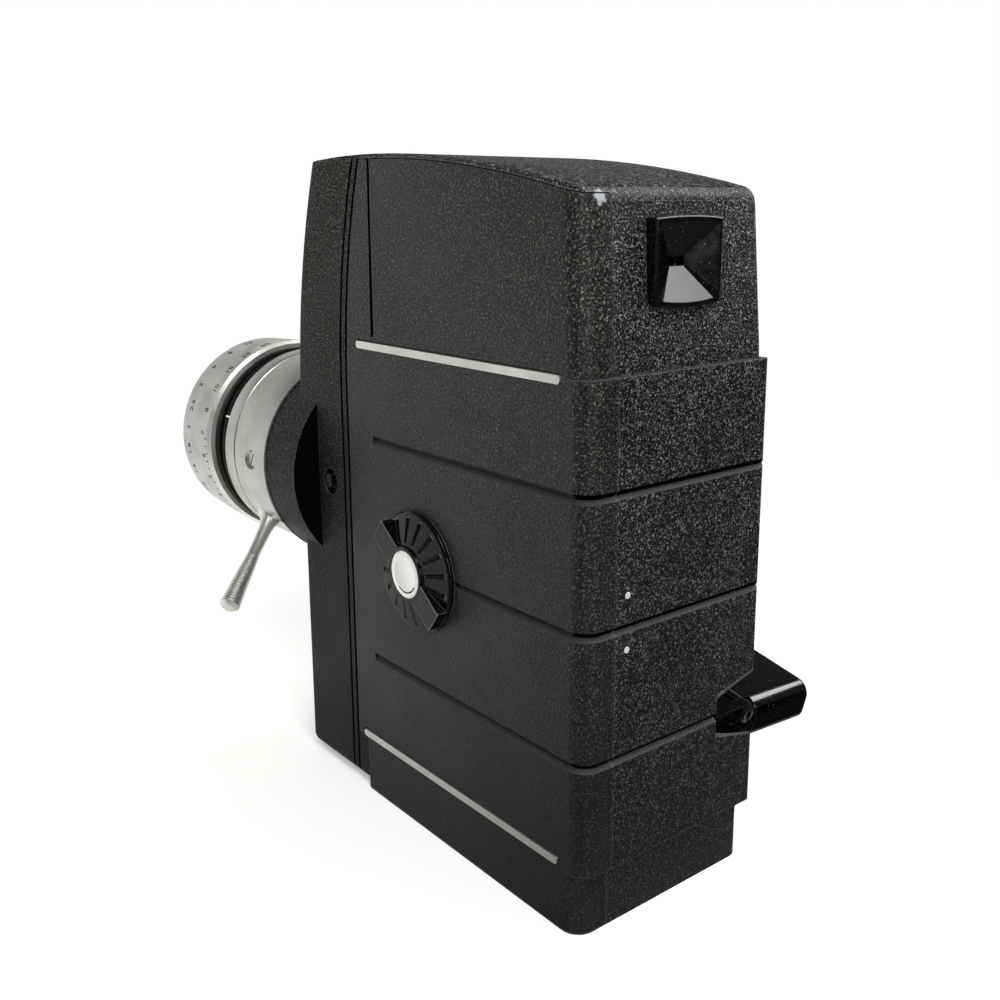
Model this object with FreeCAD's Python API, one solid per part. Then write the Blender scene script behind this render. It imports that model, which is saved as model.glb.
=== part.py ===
import FreeCAD, Part
import math
import os

from FreeCAD import Vector

os.makedirs("parts", exist_ok=True)

# A spring-driven 8 mm movie camera with a zoom lens, in millimetres.
# +Z is up, the lens looks along -Y, and the film door is on the +X side.
# The origin is the centre of the tripod socket's mouth, in the base's lower face.

# Driving dimensions of the body
body_width = 58.0
rear_y = 62.0
front_y = -60.5
wall = 1.8
base_step_z = 15.2
base_inset = 1.6
ledge_z = 127.8
ledge_inset = 1.6
upper_lean = 2.0
crown_z = 175.3
crown_y = -22.0
crown_radius = 360.0
brow_z = 105.0
brow_radius = 199.0
nose_floor_z = 1.6
gap = 0.25

# Joint line between the film door and the nose casting
seam_y = -32.3
seam_brow_z = 115.0
seam_brow_radius = 197.0
skirt_y = -27.0
skirt_z = 15.6

# Corner radii of the castings
door_corner_radius = 5.0
key_corner_radius = 1.6
foot_corner_radius = 3.6
storey_corner_radius = 2.6
front_corner_radius = 3.0
brow_corner_radius = 5.0
crown_edge_radius = 1.3
key_shoulder_radius = 4.5
rear_brow_radius = 1.5
chin_radius = 3.2

# Film door
door_wrap = 9.0
door_top_drop = 1.35
groove_heights = (102.8, 72.3, 41.7)
groove_depth = 1.1
stripe_heights = (127.4, 16.9)
stripe_half = 0.95
stripe_front_y = (-26.3, -28.4)
stripe_rear_y = 53.9

# Lens, from the rear of its boss to the front rim
lens_x = 6.3
lens_z = 87.6
boss_radius = 30.9
boss_rear_y = -49.0
boss_front_y = -66.9
core_radius = 27.0
core_bore = 24.2
zoom_radius = 30.3
focus_radius = 31.9
rim_radius = 30.7
zoom_rear_y = -67.3
zoom_front_y = -88.1
collar_front_y = -95.0
index_front_y = -103.4
rim_y = -126.5

# Winding key on the -X side
wind_y = 41.5
wind_z = 42.0
dish_radius = 22.1
dish_taper = 0.08
dish_floor_x = -14.6
dish_skin = 1.3
key_tilt = -12.0
key_droop = -4.2
key_half_span = 19.6
key_reach = 27.0
key_top = 2.3
key_bottom = -8.6
key_nose = 2.9
key_upper_radius = 4.3
key_lower_radius = 2.8
key_rim_radius = 2.0
pin_radius = 1.25
ear_inner = 16.3
ear_outer = 19.3
hinge_x = -28.2

# Film path
feed_y = 32.0
feed_z = 100.0
takeup_z = 46.0
spool_radius = 24.8
gate_y = -40.0

# Movement plates
plate_x = 0.5
plate_back_x = -1.5
bridge_x = -11.6
bridge_back_x = -12.8

# Wheels of the gear train
gear_module = 0.8
barrel_teeth = 42
pinion_teeth = 15
wheel_teeth = 38
takeup_teeth = 21
crown_module = 0.6
crown_teeth = 36
shutter_teeth = 12
backlash = 0.12
crown_root_x = -2.3
shutter_x = -6.5
shutter_z = 78.0
shutter_radius = 19.0
blade_y = -43.6

# Door lock
knob_y = 0.2
knob_z = 72.0
knob_radius = 15.7
knob_height = 4.4
bar_angle = 37.0
hub_ring_radius = 7.4
grip_outer_radius = 14.4
grip_inner_x = 3.4
grip_outer_x = 1.7
knob_groove_step = 21.5

# Viewfinder
finder_x = -0.5
finder_z = 150.8
finder_width = 20.8
finder_height = 18.6
finder_rise = 0.5
finder_corner_radius = 1.9
mouth_half_width = 9.4
mouth_half_height = 8.1
mouth_corner_radius = 2.2
funnel_depth = 4.0
sight_half_width = 2.3
sight_half_height = 1.0

# Small fittings
groove_starts = (-20.0, 14.5, -22.0)
line_three_y = -18.6
screw_places = ((-42.9, 87.2),)
screw_radius = 3.6
screw_sink = 1.3
screw_reach = 5.0
short_screw_reach = 2.8
post_places = ((-25.5, 27.0), (-25.5, 117.0), (50.0, 117.0), (8.0, 24.5))
pillar_places = ((14.0, 98.0), (44.0, 72.0), (4.0, 58.0))
rivet_x = 16.3
rivet_heights = (79.9, 67.3)
counter_y = 2.0
counter_z = 119.0
window_radius = 6.5
counter_arm_y = 8.0
counter_arm_z = 113.0
feeler_angle = -12.0
claw_x = 3.2
socket_radius = 2.55
button_x = 0.0
button_z = 30.0
button_radius = 5.5
screw_y = -77.8
lever_y = -80.2
lever_angle = 39.9
lever_lean = 0.55
lever_tip_radius = 61.5
zoom_slot_start = -22.0
zoom_slot_sweep = 107.0
filter_radius = 28.6
filter_depth = 3.5
latch_module = 0.6
latch_teeth = 10
bolt_x0 = 23.6
bolt_x1 = 26.0
bolt_half = 2.2
upper_bolt_y = knob_y + 6.0
lower_bolt_y = knob_y - 6.0

side_x = body_width / 2
key_side_x = -side_x
inner_x = side_x - wall
X_AXIS = Vector(1, 0, 0)
Y_AXIS = Vector(0, 1, 0)
Z_AXIS = Vector(0, 0, 1)


def save(name, shape):
    """Write one sub-part to its own file."""
    shape.exportStep("parts/" + name + ".step")


def box(x0, x1, y0, y1, z0, z1):
    """Return the block between two corners."""
    return Part.makeBox(x1 - x0, y1 - y0, z1 - z0, Vector(x0, y0, z0))


def rod_x(x0, x1, y, z, radius):
    """Return a round bar along X."""
    return Part.makeCylinder(radius, x1 - x0, Vector(x0, y, z), X_AXIS)


def rod_y(y0, y1, x, z, radius):
    """Return a round bar along Y."""
    return Part.makeCylinder(radius, y1 - y0, Vector(x, y0, z), Y_AXIS)


def rod_z(z0, z1, x, y, radius):
    """Return a round bar along Z."""
    return Part.makeCylinder(radius, z1 - z0, Vector(x, y, z0), Z_AXIS)


def turned_y(profile, x=lens_x, z=lens_z):
    """Turn a closed profile of (y, radius) points about the line along Y through x, z."""
    points = [Vector(x + r, y, z) for y, r in profile]
    face = Part.Face(Part.makePolygon(points + points[:1]))
    return face.revolve(Vector(x, 0, z), Y_AXIS, 360)


def turned_x(profile, y, z):
    """Turn a closed profile of (x, radius) points about the line along X through y, z."""
    points = [Vector(x, y + r, z) for x, r in profile]
    face = Part.Face(Part.makePolygon(points + points[:1]))
    return face.revolve(Vector(0, y, z), X_AXIS, 360)


def arc(a, b, c):
    """Return the arc edge through three points."""
    return Part.Arc(a, b, c).toShape()


def line(a, b):
    """Return the straight edge between two points."""
    return Part.LineSegment(a, b).toShape()


def crown_height(y, inset):
    """Return the height of the crowned roof at y, moved inwards by inset."""
    reach = crown_radius - inset
    return crown_z - crown_radius + math.sqrt(reach**2 - (y - crown_y) ** 2)


def bow(z, y0, z0, radius, inset):
    """Return y on a front that is upright up to z0 and bows rearwards above it."""
    if z <= z0:
        return y0 + inset
    reach = radius - inset
    return y0 + radius - math.sqrt(reach**2 - (z - z0) ** 2)


def brow(z, inset):
    """Return y on the body's front face at height z, moved inwards by inset."""
    return bow(z, front_y, brow_z, brow_radius, inset)


def seam(z, inset):
    """Return y on the joint line between the door and the nose casting."""
    return bow(z, seam_y, seam_brow_z, seam_brow_radius, inset)


def meet(front, inset, top_inset):
    """Return the height at which a bowed front meets the crowned roof."""
    z = crown_z
    for _ in range(12):
        z = crown_height(front(z, inset), top_inset)
    return z


def pick(shape, test):
    """Return the edges whose middle point passes a test."""
    chosen = []
    for edge in shape.Edges:
        middle = edge.valueAt((edge.FirstParameter + edge.LastParameter) / 2)
        if test(middle):
            chosen.append(edge)
    return chosen


def rounded(shape, radius, test):
    """Round the edges whose middle point passes a test."""
    return shape.makeFillet(radius, pick(shape, test))


# Body envelope


def section(points, x0, x1):
    """Extrude a side-view outline of (y, z) points from x0 to x1."""
    corners = [Vector(x0, y, z) for y, z in points]
    face = Part.Face(Part.makePolygon(corners + corners[:1]))
    return face.extrude(Vector(x1 - x0, 0, 0))


def bowed_prism(x0, x1, y_rear, z0, z1, front, inset, upper_rear=None):
    """Extrude a side view whose front edge follows a bow function."""
    top_rear = y_rear if upper_rear is None else upper_rear
    bend = max(z0, brow_z if front is brow else seam_brow_z)
    edges = [line(Vector(x0, y_rear, z0), Vector(x0, top_rear, z1))]
    edges.append(line(Vector(x0, top_rear, z1), Vector(x0, front(z1, inset), z1)))
    middle = (z1 + bend) / 2
    edges.append(arc(Vector(x0, front(z1, inset), z1), Vector(x0, front(middle, inset), middle),
                     Vector(x0, front(bend, inset), bend)))
    if z0 < bend:
        edges.append(line(Vector(x0, front(bend, inset), bend), Vector(x0, front(z0, inset), z0)))
    edges.append(line(Vector(x0, front(z0, inset), z0), Vector(x0, y_rear, z0)))
    return Part.Face(Part.Wire(edges)).extrude(Vector(x1 - x0, 0, 0))


def upright(shape, z0, z1, y_test, x, radius):
    """Round the upright edges near x that pass a test on y."""
    if radius < 0.2:
        return shape
    return rounded(shape, radius, lambda p: z0 + 1 < p.z < z1 - 1 and abs(p.x - x) < 0.6 and y_test(p.y))


def in_rear(y):
    """True near the rear upright edges."""
    return y > 0


def in_front(y):
    """True near the front upright edges."""
    return y < 0


def base_section(inset, floor):
    """The foot of the body, set in a little at the rear and on the key side."""
    x0 = key_side_x + base_inset + inset
    x1 = side_x - inset
    y1 = rear_y - base_inset - inset
    z0 = floor + inset
    z1 = base_step_z + inset
    block = box(x0, x1, front_y + inset, y1, z0, z1)
    block = upright(block, z0, z1, in_rear, x1, door_corner_radius - inset)
    block = upright(block, z0, z1, in_rear, x0, foot_corner_radius)
    block = upright(block, z0, z1, in_front, x1, front_corner_radius - inset)
    return upright(block, z0, z1, in_front, x0, front_corner_radius - inset)


def middle_section(inset):
    """The straight middle of the body, the widest part."""
    z0 = base_step_z + inset
    z1 = ledge_z - inset
    x0 = key_side_x + inset
    x1 = side_x - inset
    block = bowed_prism(x0, x1, rear_y - inset, z0, z1, brow, inset)
    block = upright(block, z0, z1, in_rear, x1, door_corner_radius - inset)
    block = upright(block, z0, z1, in_rear, x0, key_corner_radius - inset)
    block = upright(block, z0, z1, in_front, x1, front_corner_radius - inset)
    return upright(block, z0, z1, in_front, x0, front_corner_radius - inset)


def crown_slab(x0, x1, inset):
    """A slab under the crowned roof with its long edges rounded."""
    axis_z = crown_z - crown_radius
    top = crown_radius - inset
    low = top - 70
    ra = key_shoulder_radius - inset
    rb = max(crown_edge_radius - inset, 0.3)
    k = math.sqrt(0.5)
    edges = [
        line(Vector(x0, low, 0), Vector(x0, top - ra, 0)),
        arc(Vector(x0, top - ra, 0), Vector(x0 + ra - ra * k, top - ra + ra * k, 0), Vector(x0 + ra, top, 0)),
        line(Vector(x0 + ra, top, 0), Vector(x1 - rb, top, 0)),
        arc(Vector(x1 - rb, top, 0), Vector(x1 - rb + rb * k, top - rb + rb * k, 0), Vector(x1, top - rb, 0)),
        line(Vector(x1, top - rb, 0), Vector(x1, low, 0)),
        line(Vector(x1, low, 0), Vector(x0, low, 0)),
    ]
    slab = Part.Face(Part.Wire(edges)).revolve(Vector(0, 0, 0), X_AXIS, 40)
    slab.rotate(Vector(0, 0, 0), X_AXIS, 70)
    slab.translate(Vector(0, crown_y, axis_z))
    return slab


def corner_cutter(cy, cz, radius, start, end):
    """The waste outside a rounded transverse edge, from one tangent direction to the other."""
    def at(reach, angle):
        return Vector(-60, cy + reach * math.cos(angle), cz + reach * math.sin(angle))

    middle = (start + end) / 2
    edges = [
        arc(at(radius, start), at(radius, middle), at(radius, end)),
        line(at(radius, end), at(radius + 6, end)),
        line(at(radius + 6, end), at(radius + 12, middle)),
        line(at(radius + 12, middle), at(radius + 6, start)),
        line(at(radius + 6, start), at(radius, start)),
    ]
    return Part.Face(Part.Wire(edges)).extrude(Vector(120, 0, 0))


def crown_direction(y, z):
    """The angle of the roof's outward direction through a point of the side view."""
    return math.atan2(z - crown_z + crown_radius, y - crown_y)


def front_top_cutter():
    """The waste outside the rounded edge between the brow and the roof."""
    z = meet(brow, brow_corner_radius, brow_corner_radius)
    y = brow(z, brow_corner_radius)
    facing = math.atan2(z - brow_z, y - front_y - brow_radius)
    return corner_cutter(y, z, brow_corner_radius, crown_direction(y, z), facing)


def rear_top_cutter(y1, z0, slope):
    """The waste outside the rounded edge between the roof and the back, which leans from y1 at z0."""
    lean_angle = math.atan(slope)
    z = crown_z
    for _ in range(12):
        y = y1 - slope * (z - z0) - rear_brow_radius / math.cos(lean_angle)
        z = crown_height(y, rear_brow_radius)
    return corner_cutter(y, z, rear_brow_radius, lean_angle, crown_direction(y, z))


def upper_section(inset):
    """The viewfinder storey, set in at the rear, under the crowned roof."""
    z0 = ledge_z - inset
    z1 = 188.0
    x0 = key_side_x + 0.4 + inset
    x1 = side_x - inset
    y1 = rear_y - ledge_inset - inset
    slope = upper_lean / (crown_z - ledge_z - 8)
    block = bowed_prism(x0, x1, y1, z0, z1, brow, inset, y1 - slope * (z1 - z0))
    block = upright(block, z0, z1, in_rear, x1, door_corner_radius - inset)
    block = upright(block, z0, z1, in_rear, x0, storey_corner_radius - inset)
    block = upright(block, z0, z1, in_front, x1, front_corner_radius - inset)
    block = upright(block, z0, z1, in_front, x0, front_corner_radius - inset)
    block = block.common(crown_slab(x0, x1, inset))
    if inset > 0:
        return block
    return block.cut([front_top_cutter(), rear_top_cutter(y1, z0, slope)])


def envelope(inset, floor=0.0):
    """The whole outer form of the body, moved inwards by inset."""
    form = base_section(inset, floor).fuse([middle_section(inset), upper_section(inset)])
    return form.removeSplitter()


def nose_region(offset):
    """Everything in front of the joint line, which moves rearwards by offset."""
    z1 = 190.0
    middle = (z1 + seam_brow_z) / 2
    x0 = -60.0
    p0 = Vector(x0, -140, -5)
    p1 = Vector(x0, skirt_y + offset, -5)
    p2 = Vector(x0, skirt_y + offset, skirt_z + offset)
    p3 = Vector(x0, seam_y + offset, skirt_z + offset)
    p4 = Vector(x0, seam_y + offset, seam_brow_z)
    p5 = Vector(x0, seam(middle, offset), middle)
    p6 = Vector(x0, seam(z1, offset), z1)
    p7 = Vector(x0, -140, z1)
    edges = [line(p0, p1), line(p1, p2), line(p2, p3), line(p3, p4)]
    edges += [arc(p4, p5, p6), line(p6, p7), line(p7, p0)]
    return Part.Face(Part.Wire(edges)).extrude(Vector(120, 0, 0))


def door_region(offset):
    """The side cover's share of the body's skin."""
    drop = door_top_drop - offset
    y0 = -70.0
    y1 = 75.0
    x0 = 15.0
    middle = (y0 + y1) / 2
    floor = 0.35 - offset
    edges = [
        line(Vector(x0, y0, floor), Vector(x0, y1, floor)),
        line(Vector(x0, y1, floor), Vector(x0, y1, crown_height(y1, drop))),
        arc(Vector(x0, y1, crown_height(y1, drop)), Vector(x0, middle, crown_height(middle, drop)),
            Vector(x0, y0, crown_height(y0, drop))),
        line(Vector(x0, y0, crown_height(y0, drop)), Vector(x0, y0, floor)),
    ]
    block = Part.Face(Part.Wire(edges)).extrude(Vector(40, 0, 0))
    side = box(inner_x - offset, 40, -80, 80, -5, 190)
    wrap = box(side_x - door_wrap - offset, 40, 56 - offset, 80, -5, 190)
    return block.common(side.fuse(wrap)).cut(nose_region(0.15 - offset))


# Outer castings


def groove(z, y_start):
    """A V-groove along the door's side, round its rear corner and across the back."""
    half = 1.1
    r = door_corner_radius
    cx = side_x - r
    cy = rear_y - r
    profile = [Vector(side_x + 1, cy, z + half + 0.6), Vector(side_x + 1, cy, z - half - 0.6),
               Vector(side_x, cy, z - half), Vector(side_x - groove_depth, cy, z - 0.25),
               Vector(side_x, cy, z + half)]
    face = Part.Face(Part.makePolygon(profile + profile[:1]))
    along = face.extrude(Vector(0, y_start - cy, 0))
    corner = face.revolve(Vector(cx, cy, z), Z_AXIS, 90)
    turned = face.copy()
    turned.rotate(Vector(cx, cy, z), Z_AXIS, 90)
    across = turned.extrude(Vector(-62, 0, 0))
    return along.fuse([corner, across])


def grooves():
    """All three V-grooves."""
    cuts = []
    for z, y_start in zip(groove_heights, groove_starts):
        cuts.append(groove(z, y_start))
    return cuts


def dish(extra, x_open, x_end):
    """The tapering round recess of the winding key, grown by extra."""
    mouth = dish_radius + extra + (key_side_x - x_open) * dish_taper
    end = dish_radius + extra - (x_end - key_side_x) * dish_taper
    return Part.makeCone(mouth, end, x_end - x_open, Vector(x_open, wind_y, wind_z), X_AXIS)


def boss_wall():
    """The round lens boss before its bore is cut."""
    return turned_y([(boss_rear_y, 0), (boss_rear_y, boss_radius), (boss_front_y + 1.4, boss_radius),
                     (boss_front_y + 1.0, boss_radius + 0.25), (boss_front_y, boss_radius + 0.25),
                     (boss_front_y, 0)])


def nose_casting(outer, inner):
    """The front of the body in one casting, with the lens boss and a light-tight lip at its rear."""
    below = box(-40, 40, -80, skirt_y + 1, -5, nose_floor_z)
    body = outer.common(nose_region(0.0)).cut(below)
    body = body.makeFillet(chin_radius, pick(body, lambda p: p.z < nose_floor_z + 0.01 and p.y < front_y + 4))
    plug = envelope(wall + 0.25).common(nose_region(2.6)).cut(below)
    floor = box(-40, 40, -80, 0, -5, nose_floor_z + wall)
    narrow = envelope(wall + 1.4).cut(floor)
    wide = inner.common(box(-40, 40, -80, seam_y - 4.0, nose_floor_z + wall, 190))
    shell = body.fuse(plug).cut(narrow).cut(wide)
    shell = shell.fuse([boss_wall(), screw_pad(), release_bracket()])
    shell = shell.cut(rod_y(boss_front_y - 1, boss_rear_y - 2.4, lens_x, lens_z, core_radius + 0.02))
    shell = shell.cut(rod_y(-60, boss_rear_y + 1, lens_x, lens_z, 8.3))
    shell = shell.cut(screw_holes())
    shell = shell.cut(box(finder_x - 8.2, finder_x + 8.2, -62, -48, finder_z - 6.2, finder_z + 6.2))
    shell = shell.cut(rod_y(-62, -55, button_x, button_z, button_radius + 0.12))
    return shell.removeSplitter()


def screw_pad():
    """Pads inside the nose casting behind its side screws."""
    pads = []
    for y, z in screw_places:
        pads.append(rod_x(side_x - screw_reach - 0.4, inner_x + 0.2, y, z, 5.2))
        pads.append(rod_x(key_side_x + wall - 0.2, key_side_x + short_screw_reach + 0.4, y, z, 5.2))
    return pads[0].fuse(pads[1:])


def screw_holes():
    """Counterbored holes for the side screws."""
    cuts = []
    for y, z in screw_places:
        cuts.append(rod_x(side_x - screw_sink, side_x + 1, y, z, screw_radius + 0.1))
        cuts.append(rod_x(side_x - screw_reach - 1, side_x, y, z, 1.5))
        cuts.append(rod_x(key_side_x - 1, key_side_x + screw_sink, y, z, screw_radius + 0.1))
        cuts.append(rod_x(key_side_x, key_side_x + short_screw_reach + 1, y, z, 1.5))
    return cuts[0].fuse(cuts[1:])


def side_screw(y, z, reach):
    """One slotted screw, sunk in the door side of the nose casting."""
    head = rod_x(side_x - screw_sink, side_x - 0.35, y, z, screw_radius)
    shank = rod_x(side_x - reach, side_x - screw_sink, y, z, 1.45)
    slot = box(side_x - 0.8, side_x, y - screw_radius, y + screw_radius, z - 0.35, z + 0.35)
    return head.fuse(shank).cut(slot)


def side_screws():
    """The slotted screws that close the nose casting, shorter on the key side, where the shutter turns."""
    screws = []
    for y, z in screw_places:
        screws.append(side_screw(y, z, screw_reach))
        screws.append(side_screw(y, z, short_screw_reach).mirror(Vector(0, 0, 0), X_AXIS))
    return Part.makeCompound(screws)


def bosses():
    """Cast posts on the key side that carry the mechanism plate."""
    posts = []
    for y, z in post_places:
        posts.append(rod_x(key_side_x + wall - 0.3, plate_back_x, y, z, 3.2))
    return posts


def keeper(z0, z1, y):
    """A keeper block whose slot is open towards the door."""
    block = box(20.5, inner_x - 0.4, y - 4.2, y + 4.2, z0, z1)
    return block.cut(box(bolt_x0 - 0.4, 40, y - bolt_half - 0.35, y + bolt_half + 0.35, z0 - 1, z1 + 1))


def main_casting(outer, inner):
    """The key side, roof, floor and back of the body."""
    shell = outer.cut(inner)
    wall_cone = dish(dish_skin, key_side_x, dish_floor_x + dish_skin).common(outer)
    top_keeper = keeper(165.5, 173.4, upper_bolt_y).common(outer)
    low_keeper = keeper(1.0, 6.6, lower_bolt_y)
    pad = rod_z(0.5, 7.0, 0, 0, 8.0)
    shell = shell.fuse(bosses() + [wall_cone, top_keeper, low_keeper, pad])
    shell = shell.cut(nose_region(gap)).cut(door_region(gap))
    shell = shell.cut([dish(0, key_side_x - 1, dish_floor_x), rod_x(-20, 0, wind_y, wind_z, 3.06)])
    shell = shell.cut(grooves())
    shell = shell.cut(eyepiece_block(0.0, 50, 70))
    shell = shell.cut([rod_z(-1, 8, 0, 0, 5.02)])
    for z in rivet_heights:
        shell = shell.cut(rod_y(55, 65, rivet_x, z, 0.75))
    x1 = key_side_x + wall + 1
    shell = shell.cut(rod_x(key_side_x - 1, x1, counter_y, counter_z, window_radius + 0.02))
    return shell.removeSplitter()


def film_door(outer, inner):
    """The side cover with its wrap round the back."""
    shell = outer.cut(inner).common(door_region(0.0))
    pad = rod_x(26.2, inner_x + 0.2, knob_y, knob_z, 6.0)
    shell = shell.fuse([pad])
    shell = shell.cut(grooves())
    for z, y0 in zip(stripe_heights, stripe_front_y):
        shell = shell.cut(box(side_x - 0.5, side_x + 1, y0 - 0.1, stripe_rear_y + 0.1,
                              z - stripe_half - 0.02, z + stripe_half + 0.55))
    y_ref = line_three_y
    shell = shell.cut(box(side_x - 0.35, side_x + 1, y_ref, y_ref + 0.6, ledge_z + 2.6, 180))
    shell = shell.cut(rod_x(20, 35, knob_y, knob_z, 3.05))
    return shell.removeSplitter()


def strips():
    """The two metal strips inlaid along the door."""
    made = []
    for z, y0 in zip(stripe_heights, stripe_front_y):
        bar = box(side_x - 0.5, side_x + 0.35, y0, stripe_rear_y, z - stripe_half, z + stripe_half)
        bar = bar.makeFillet(0.8, pick(bar, lambda p: abs(p.x - side_x) < 0.2 and (p.y < y0 + 0.1 or p.y > 53)
                                       and abs(abs(p.z - z) - stripe_half) < 0.01))
        made.append(bar)
    return Part.makeCompound(made)


# Door lock


def knob_groove(angle):
    """One tapering V-groove of the knob's sloping grip, at an angle from the vertical."""
    x0 = side_x + 0.12
    fall = (grip_inner_x - grip_outer_x) / (grip_outer_radius - hub_ring_radius)
    ends = []
    for r, half in ((hub_ring_radius + 0.5, 0.45), (grip_outer_radius - 0.2, 0.85)):
        surface = x0 + grip_inner_x - fall * (r - hub_ring_radius)
        depth = half * 0.9
        top = half * 1.4
        corners = [Vector(surface + 0.4 * depth, -top, r), Vector(surface + 0.4 * depth, top, r),
                   Vector(surface - depth, 0, r)]
        ends.append(Part.makePolygon(corners + corners[:1]))
    groove_cut = Part.makeLoft(ends, True, True)
    groove_cut.rotate(Vector(0, 0, 0), X_AXIS, angle)
    groove_cut.translate(Vector(0, knob_y, knob_z))
    return groove_cut


def lock_knob():
    """The round knob: grooved conical grip, smooth rim, raised diametral bar, hub ring and shaft."""
    x0 = side_x + 0.12
    top = x0 + knob_height
    skirt = turned_x([(x0, 0), (x0, knob_radius), (x0 + 1.0, knob_radius), (x0 + 1.5, knob_radius - 0.5),
                      (x0 + grip_outer_x, grip_outer_radius), (x0 + grip_inner_x, hub_ring_radius),
                      (top - 0.3, 7.2), (top, 6.9), (top, 6.3), (top - 0.6, 6.2), (top - 0.6, 0)],
                     knob_y, knob_z)
    cuts = []
    for side in (0, 180):
        for step in range(-3, 4):
            cuts.append(knob_groove(side - bar_angle + step * knob_groove_step))
    skirt = skirt.cut(cuts)
    bar = box(x0 + 0.5, top - 0.1, knob_y - 15.4, knob_y + 15.4, knob_z - 3.25, knob_z + 3.25)
    bar.rotate(Vector(0, knob_y, knob_z), X_AXIS, -bar_angle)
    bar = bar.common(rod_x(x0, x0 + 9, knob_y, knob_z, knob_radius - 0.1))
    bar = bar.cut(rod_x(x0 + 2, x0 + 9, knob_y, knob_z, 7.0))
    shaft = rod_x(27.9, x0 + 0.2, knob_y, knob_z, 3.0)
    return skirt.fuse([bar, shaft]).removeSplitter()


def knob_disc():
    """The bare disc set in the knob's hub."""
    x0 = side_x + 0.12 + knob_height - 0.6
    return rod_x(x0, x0 + 0.35, knob_y, knob_z, 6.15)


def latch_pinion():
    """The small pinion on the knob's shaft that drives both bolts."""
    wheel = toothed_x(bolt_x0 + 0.2, bolt_x1 + 0.2, knob_y, knob_z, latch_teeth, 0.0, latch_module, 0.2)
    shaft = rod_x(bolt_x0 - 1.6, 27.9, knob_y, knob_z, 1.6)
    collar = rod_x(bolt_x1 + 0.2, 27.9, knob_y, knob_z, 3.0)
    return wheel.fuse([shaft, collar]).removeSplitter()


def rack(direction):
    """A bolt: a flat bar with rack teeth facing the latch pinion."""
    pitch = math.pi * latch_module
    reach = latch_module * latch_teeth / 2
    y_line = knob_y + direction * reach
    y_back = knob_y + direction * (reach + 2 * bolt_half + 0.9)
    z_end = 169.0 if direction > 0 else 3.2
    z_tail = knob_z - direction * 9.0
    tooth = latch_module * 0.8
    root = latch_module * 1.05
    low = min(z_end, z_tail)
    high = max(z_end, z_tail)
    y_front = y_line + direction * root
    bar = box(bolt_x0, bolt_x1, min(y_front, y_back), max(y_front, y_back), low, high)
    teeth = []
    count = 6
    for i in range(-count, count + 1):
        z = knob_z + (i + rack_shift(direction)) * pitch
        if z < low + 1 or z > high - 1:
            continue
        half_tip = pitch / 4 - tooth * 0.364 - 0.05
        half_root = pitch / 4 + root * 0.364 - 0.05
        y_tip = y_line - direction * tooth
        y_root = y_line + direction * (root + 0.05)
        lower = [(y_tip, z - half_tip), (y_root, z - half_root)]
        upper = [(y_root, z + half_root), (y_tip, z + half_tip)]
        teeth.append(section(lower + upper, bolt_x0, bolt_x1))
    return bar.fuse(teeth).removeSplitter()


def rack_shift(direction):
    """Fraction of a pitch that sets a rack tooth into a gap of the pinion at rest."""
    angle = 0.0 if direction > 0 else math.pi
    step = 2 * math.pi / latch_teeth
    offset = (angle % step) / step
    return 0.5 - offset if direction > 0 else 0.5 + offset


def bolt_cover():
    """A channel-shaped cover that holds both bolts against the door."""
    y0 = knob_y - 12.5
    y1 = knob_y + 12.5
    shell = box(bolt_x0 - 1.6, bolt_x1 + 0.5, y0, y1, knob_z - 16, knob_z + 16)
    shell = shell.cut(box(bolt_x0 - 0.3, bolt_x1 + 1, y0 + 1.4, y1 - 1.4, knob_z - 20, knob_z + 20))
    return shell.cut(rod_x(bolt_x0 - 3, bolt_x1, knob_y, knob_z, 1.65))


def bolt_guides():
    """Two bridges that guide the far ends of the bolts on the door."""
    made = []
    for y, z in ((upper_bolt_y, 150.0), (lower_bolt_y, 24.0)):
        block = box(bolt_x0 - 1.6, inner_x - 0.02, y - 4.6, y + 4.6, z - 4, z + 4)
        made.append(block.cut(box(bolt_x0 - 0.3, bolt_x1 + 0.3, y - bolt_half - 0.35, y + bolt_half + 0.35,
                                  z - 9, z + 9)))
    return Part.makeCompound(made)


# Toothed wheels


def tooth_points(teeth, phase, module, slack):
    """Return the (u, v) corners of a wheel with straight-sided stub teeth."""
    pitch = module * teeth / 2
    base = pitch * math.cos(math.radians(20))
    tip = pitch + 0.8 * module
    root = pitch - 1.05 * module
    half = math.pi / (2 * teeth) - slack / (2 * pitch) + math.tan(math.radians(20)) - math.radians(20)
    lean = math.acos(base / tip)
    tip_half = half - math.tan(lean) + lean
    points = []
    for i in range(teeth):
        middle = phase + 2 * math.pi * i / teeth
        for radius, angle in ((root, -half), (tip, -tip_half), (tip, tip_half), (root, half)):
            points.append((radius * math.cos(middle + angle), radius * math.sin(middle + angle)))
    return points


def toothed_x(x0, x1, y, z, teeth, phase, module, slack):
    """A toothed wheel with its axis along X."""
    return section([(y + u, z + v) for u, v in tooth_points(teeth, phase, module, slack)], x0, x1)


def toothed_y(y0, y1, x, z, teeth, phase, module, slack):
    """A toothed wheel with its axis along Y, with its phase measured from +X towards -Z."""
    corners = [Vector(x + u, y0, z - v) for u, v in tooth_points(teeth, phase, module, slack)]
    face = Part.Face(Part.makePolygon(corners + corners[:1]))
    return face.extrude(Vector(0, y1 - y0, 0))


def mesh_phase(centre, phase, teeth, other, other_teeth):
    """Return the phase that sets another wheel's gap opposite the first wheel's tooth."""
    toward = math.atan2(other[1] - centre[1], other[0] - centre[0])
    step = 2 * math.pi / teeth
    fraction = ((toward - phase) % step) / step
    other_step = 2 * math.pi / other_teeth
    return toward + math.pi + fraction * other_step + other_step / 2


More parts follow.
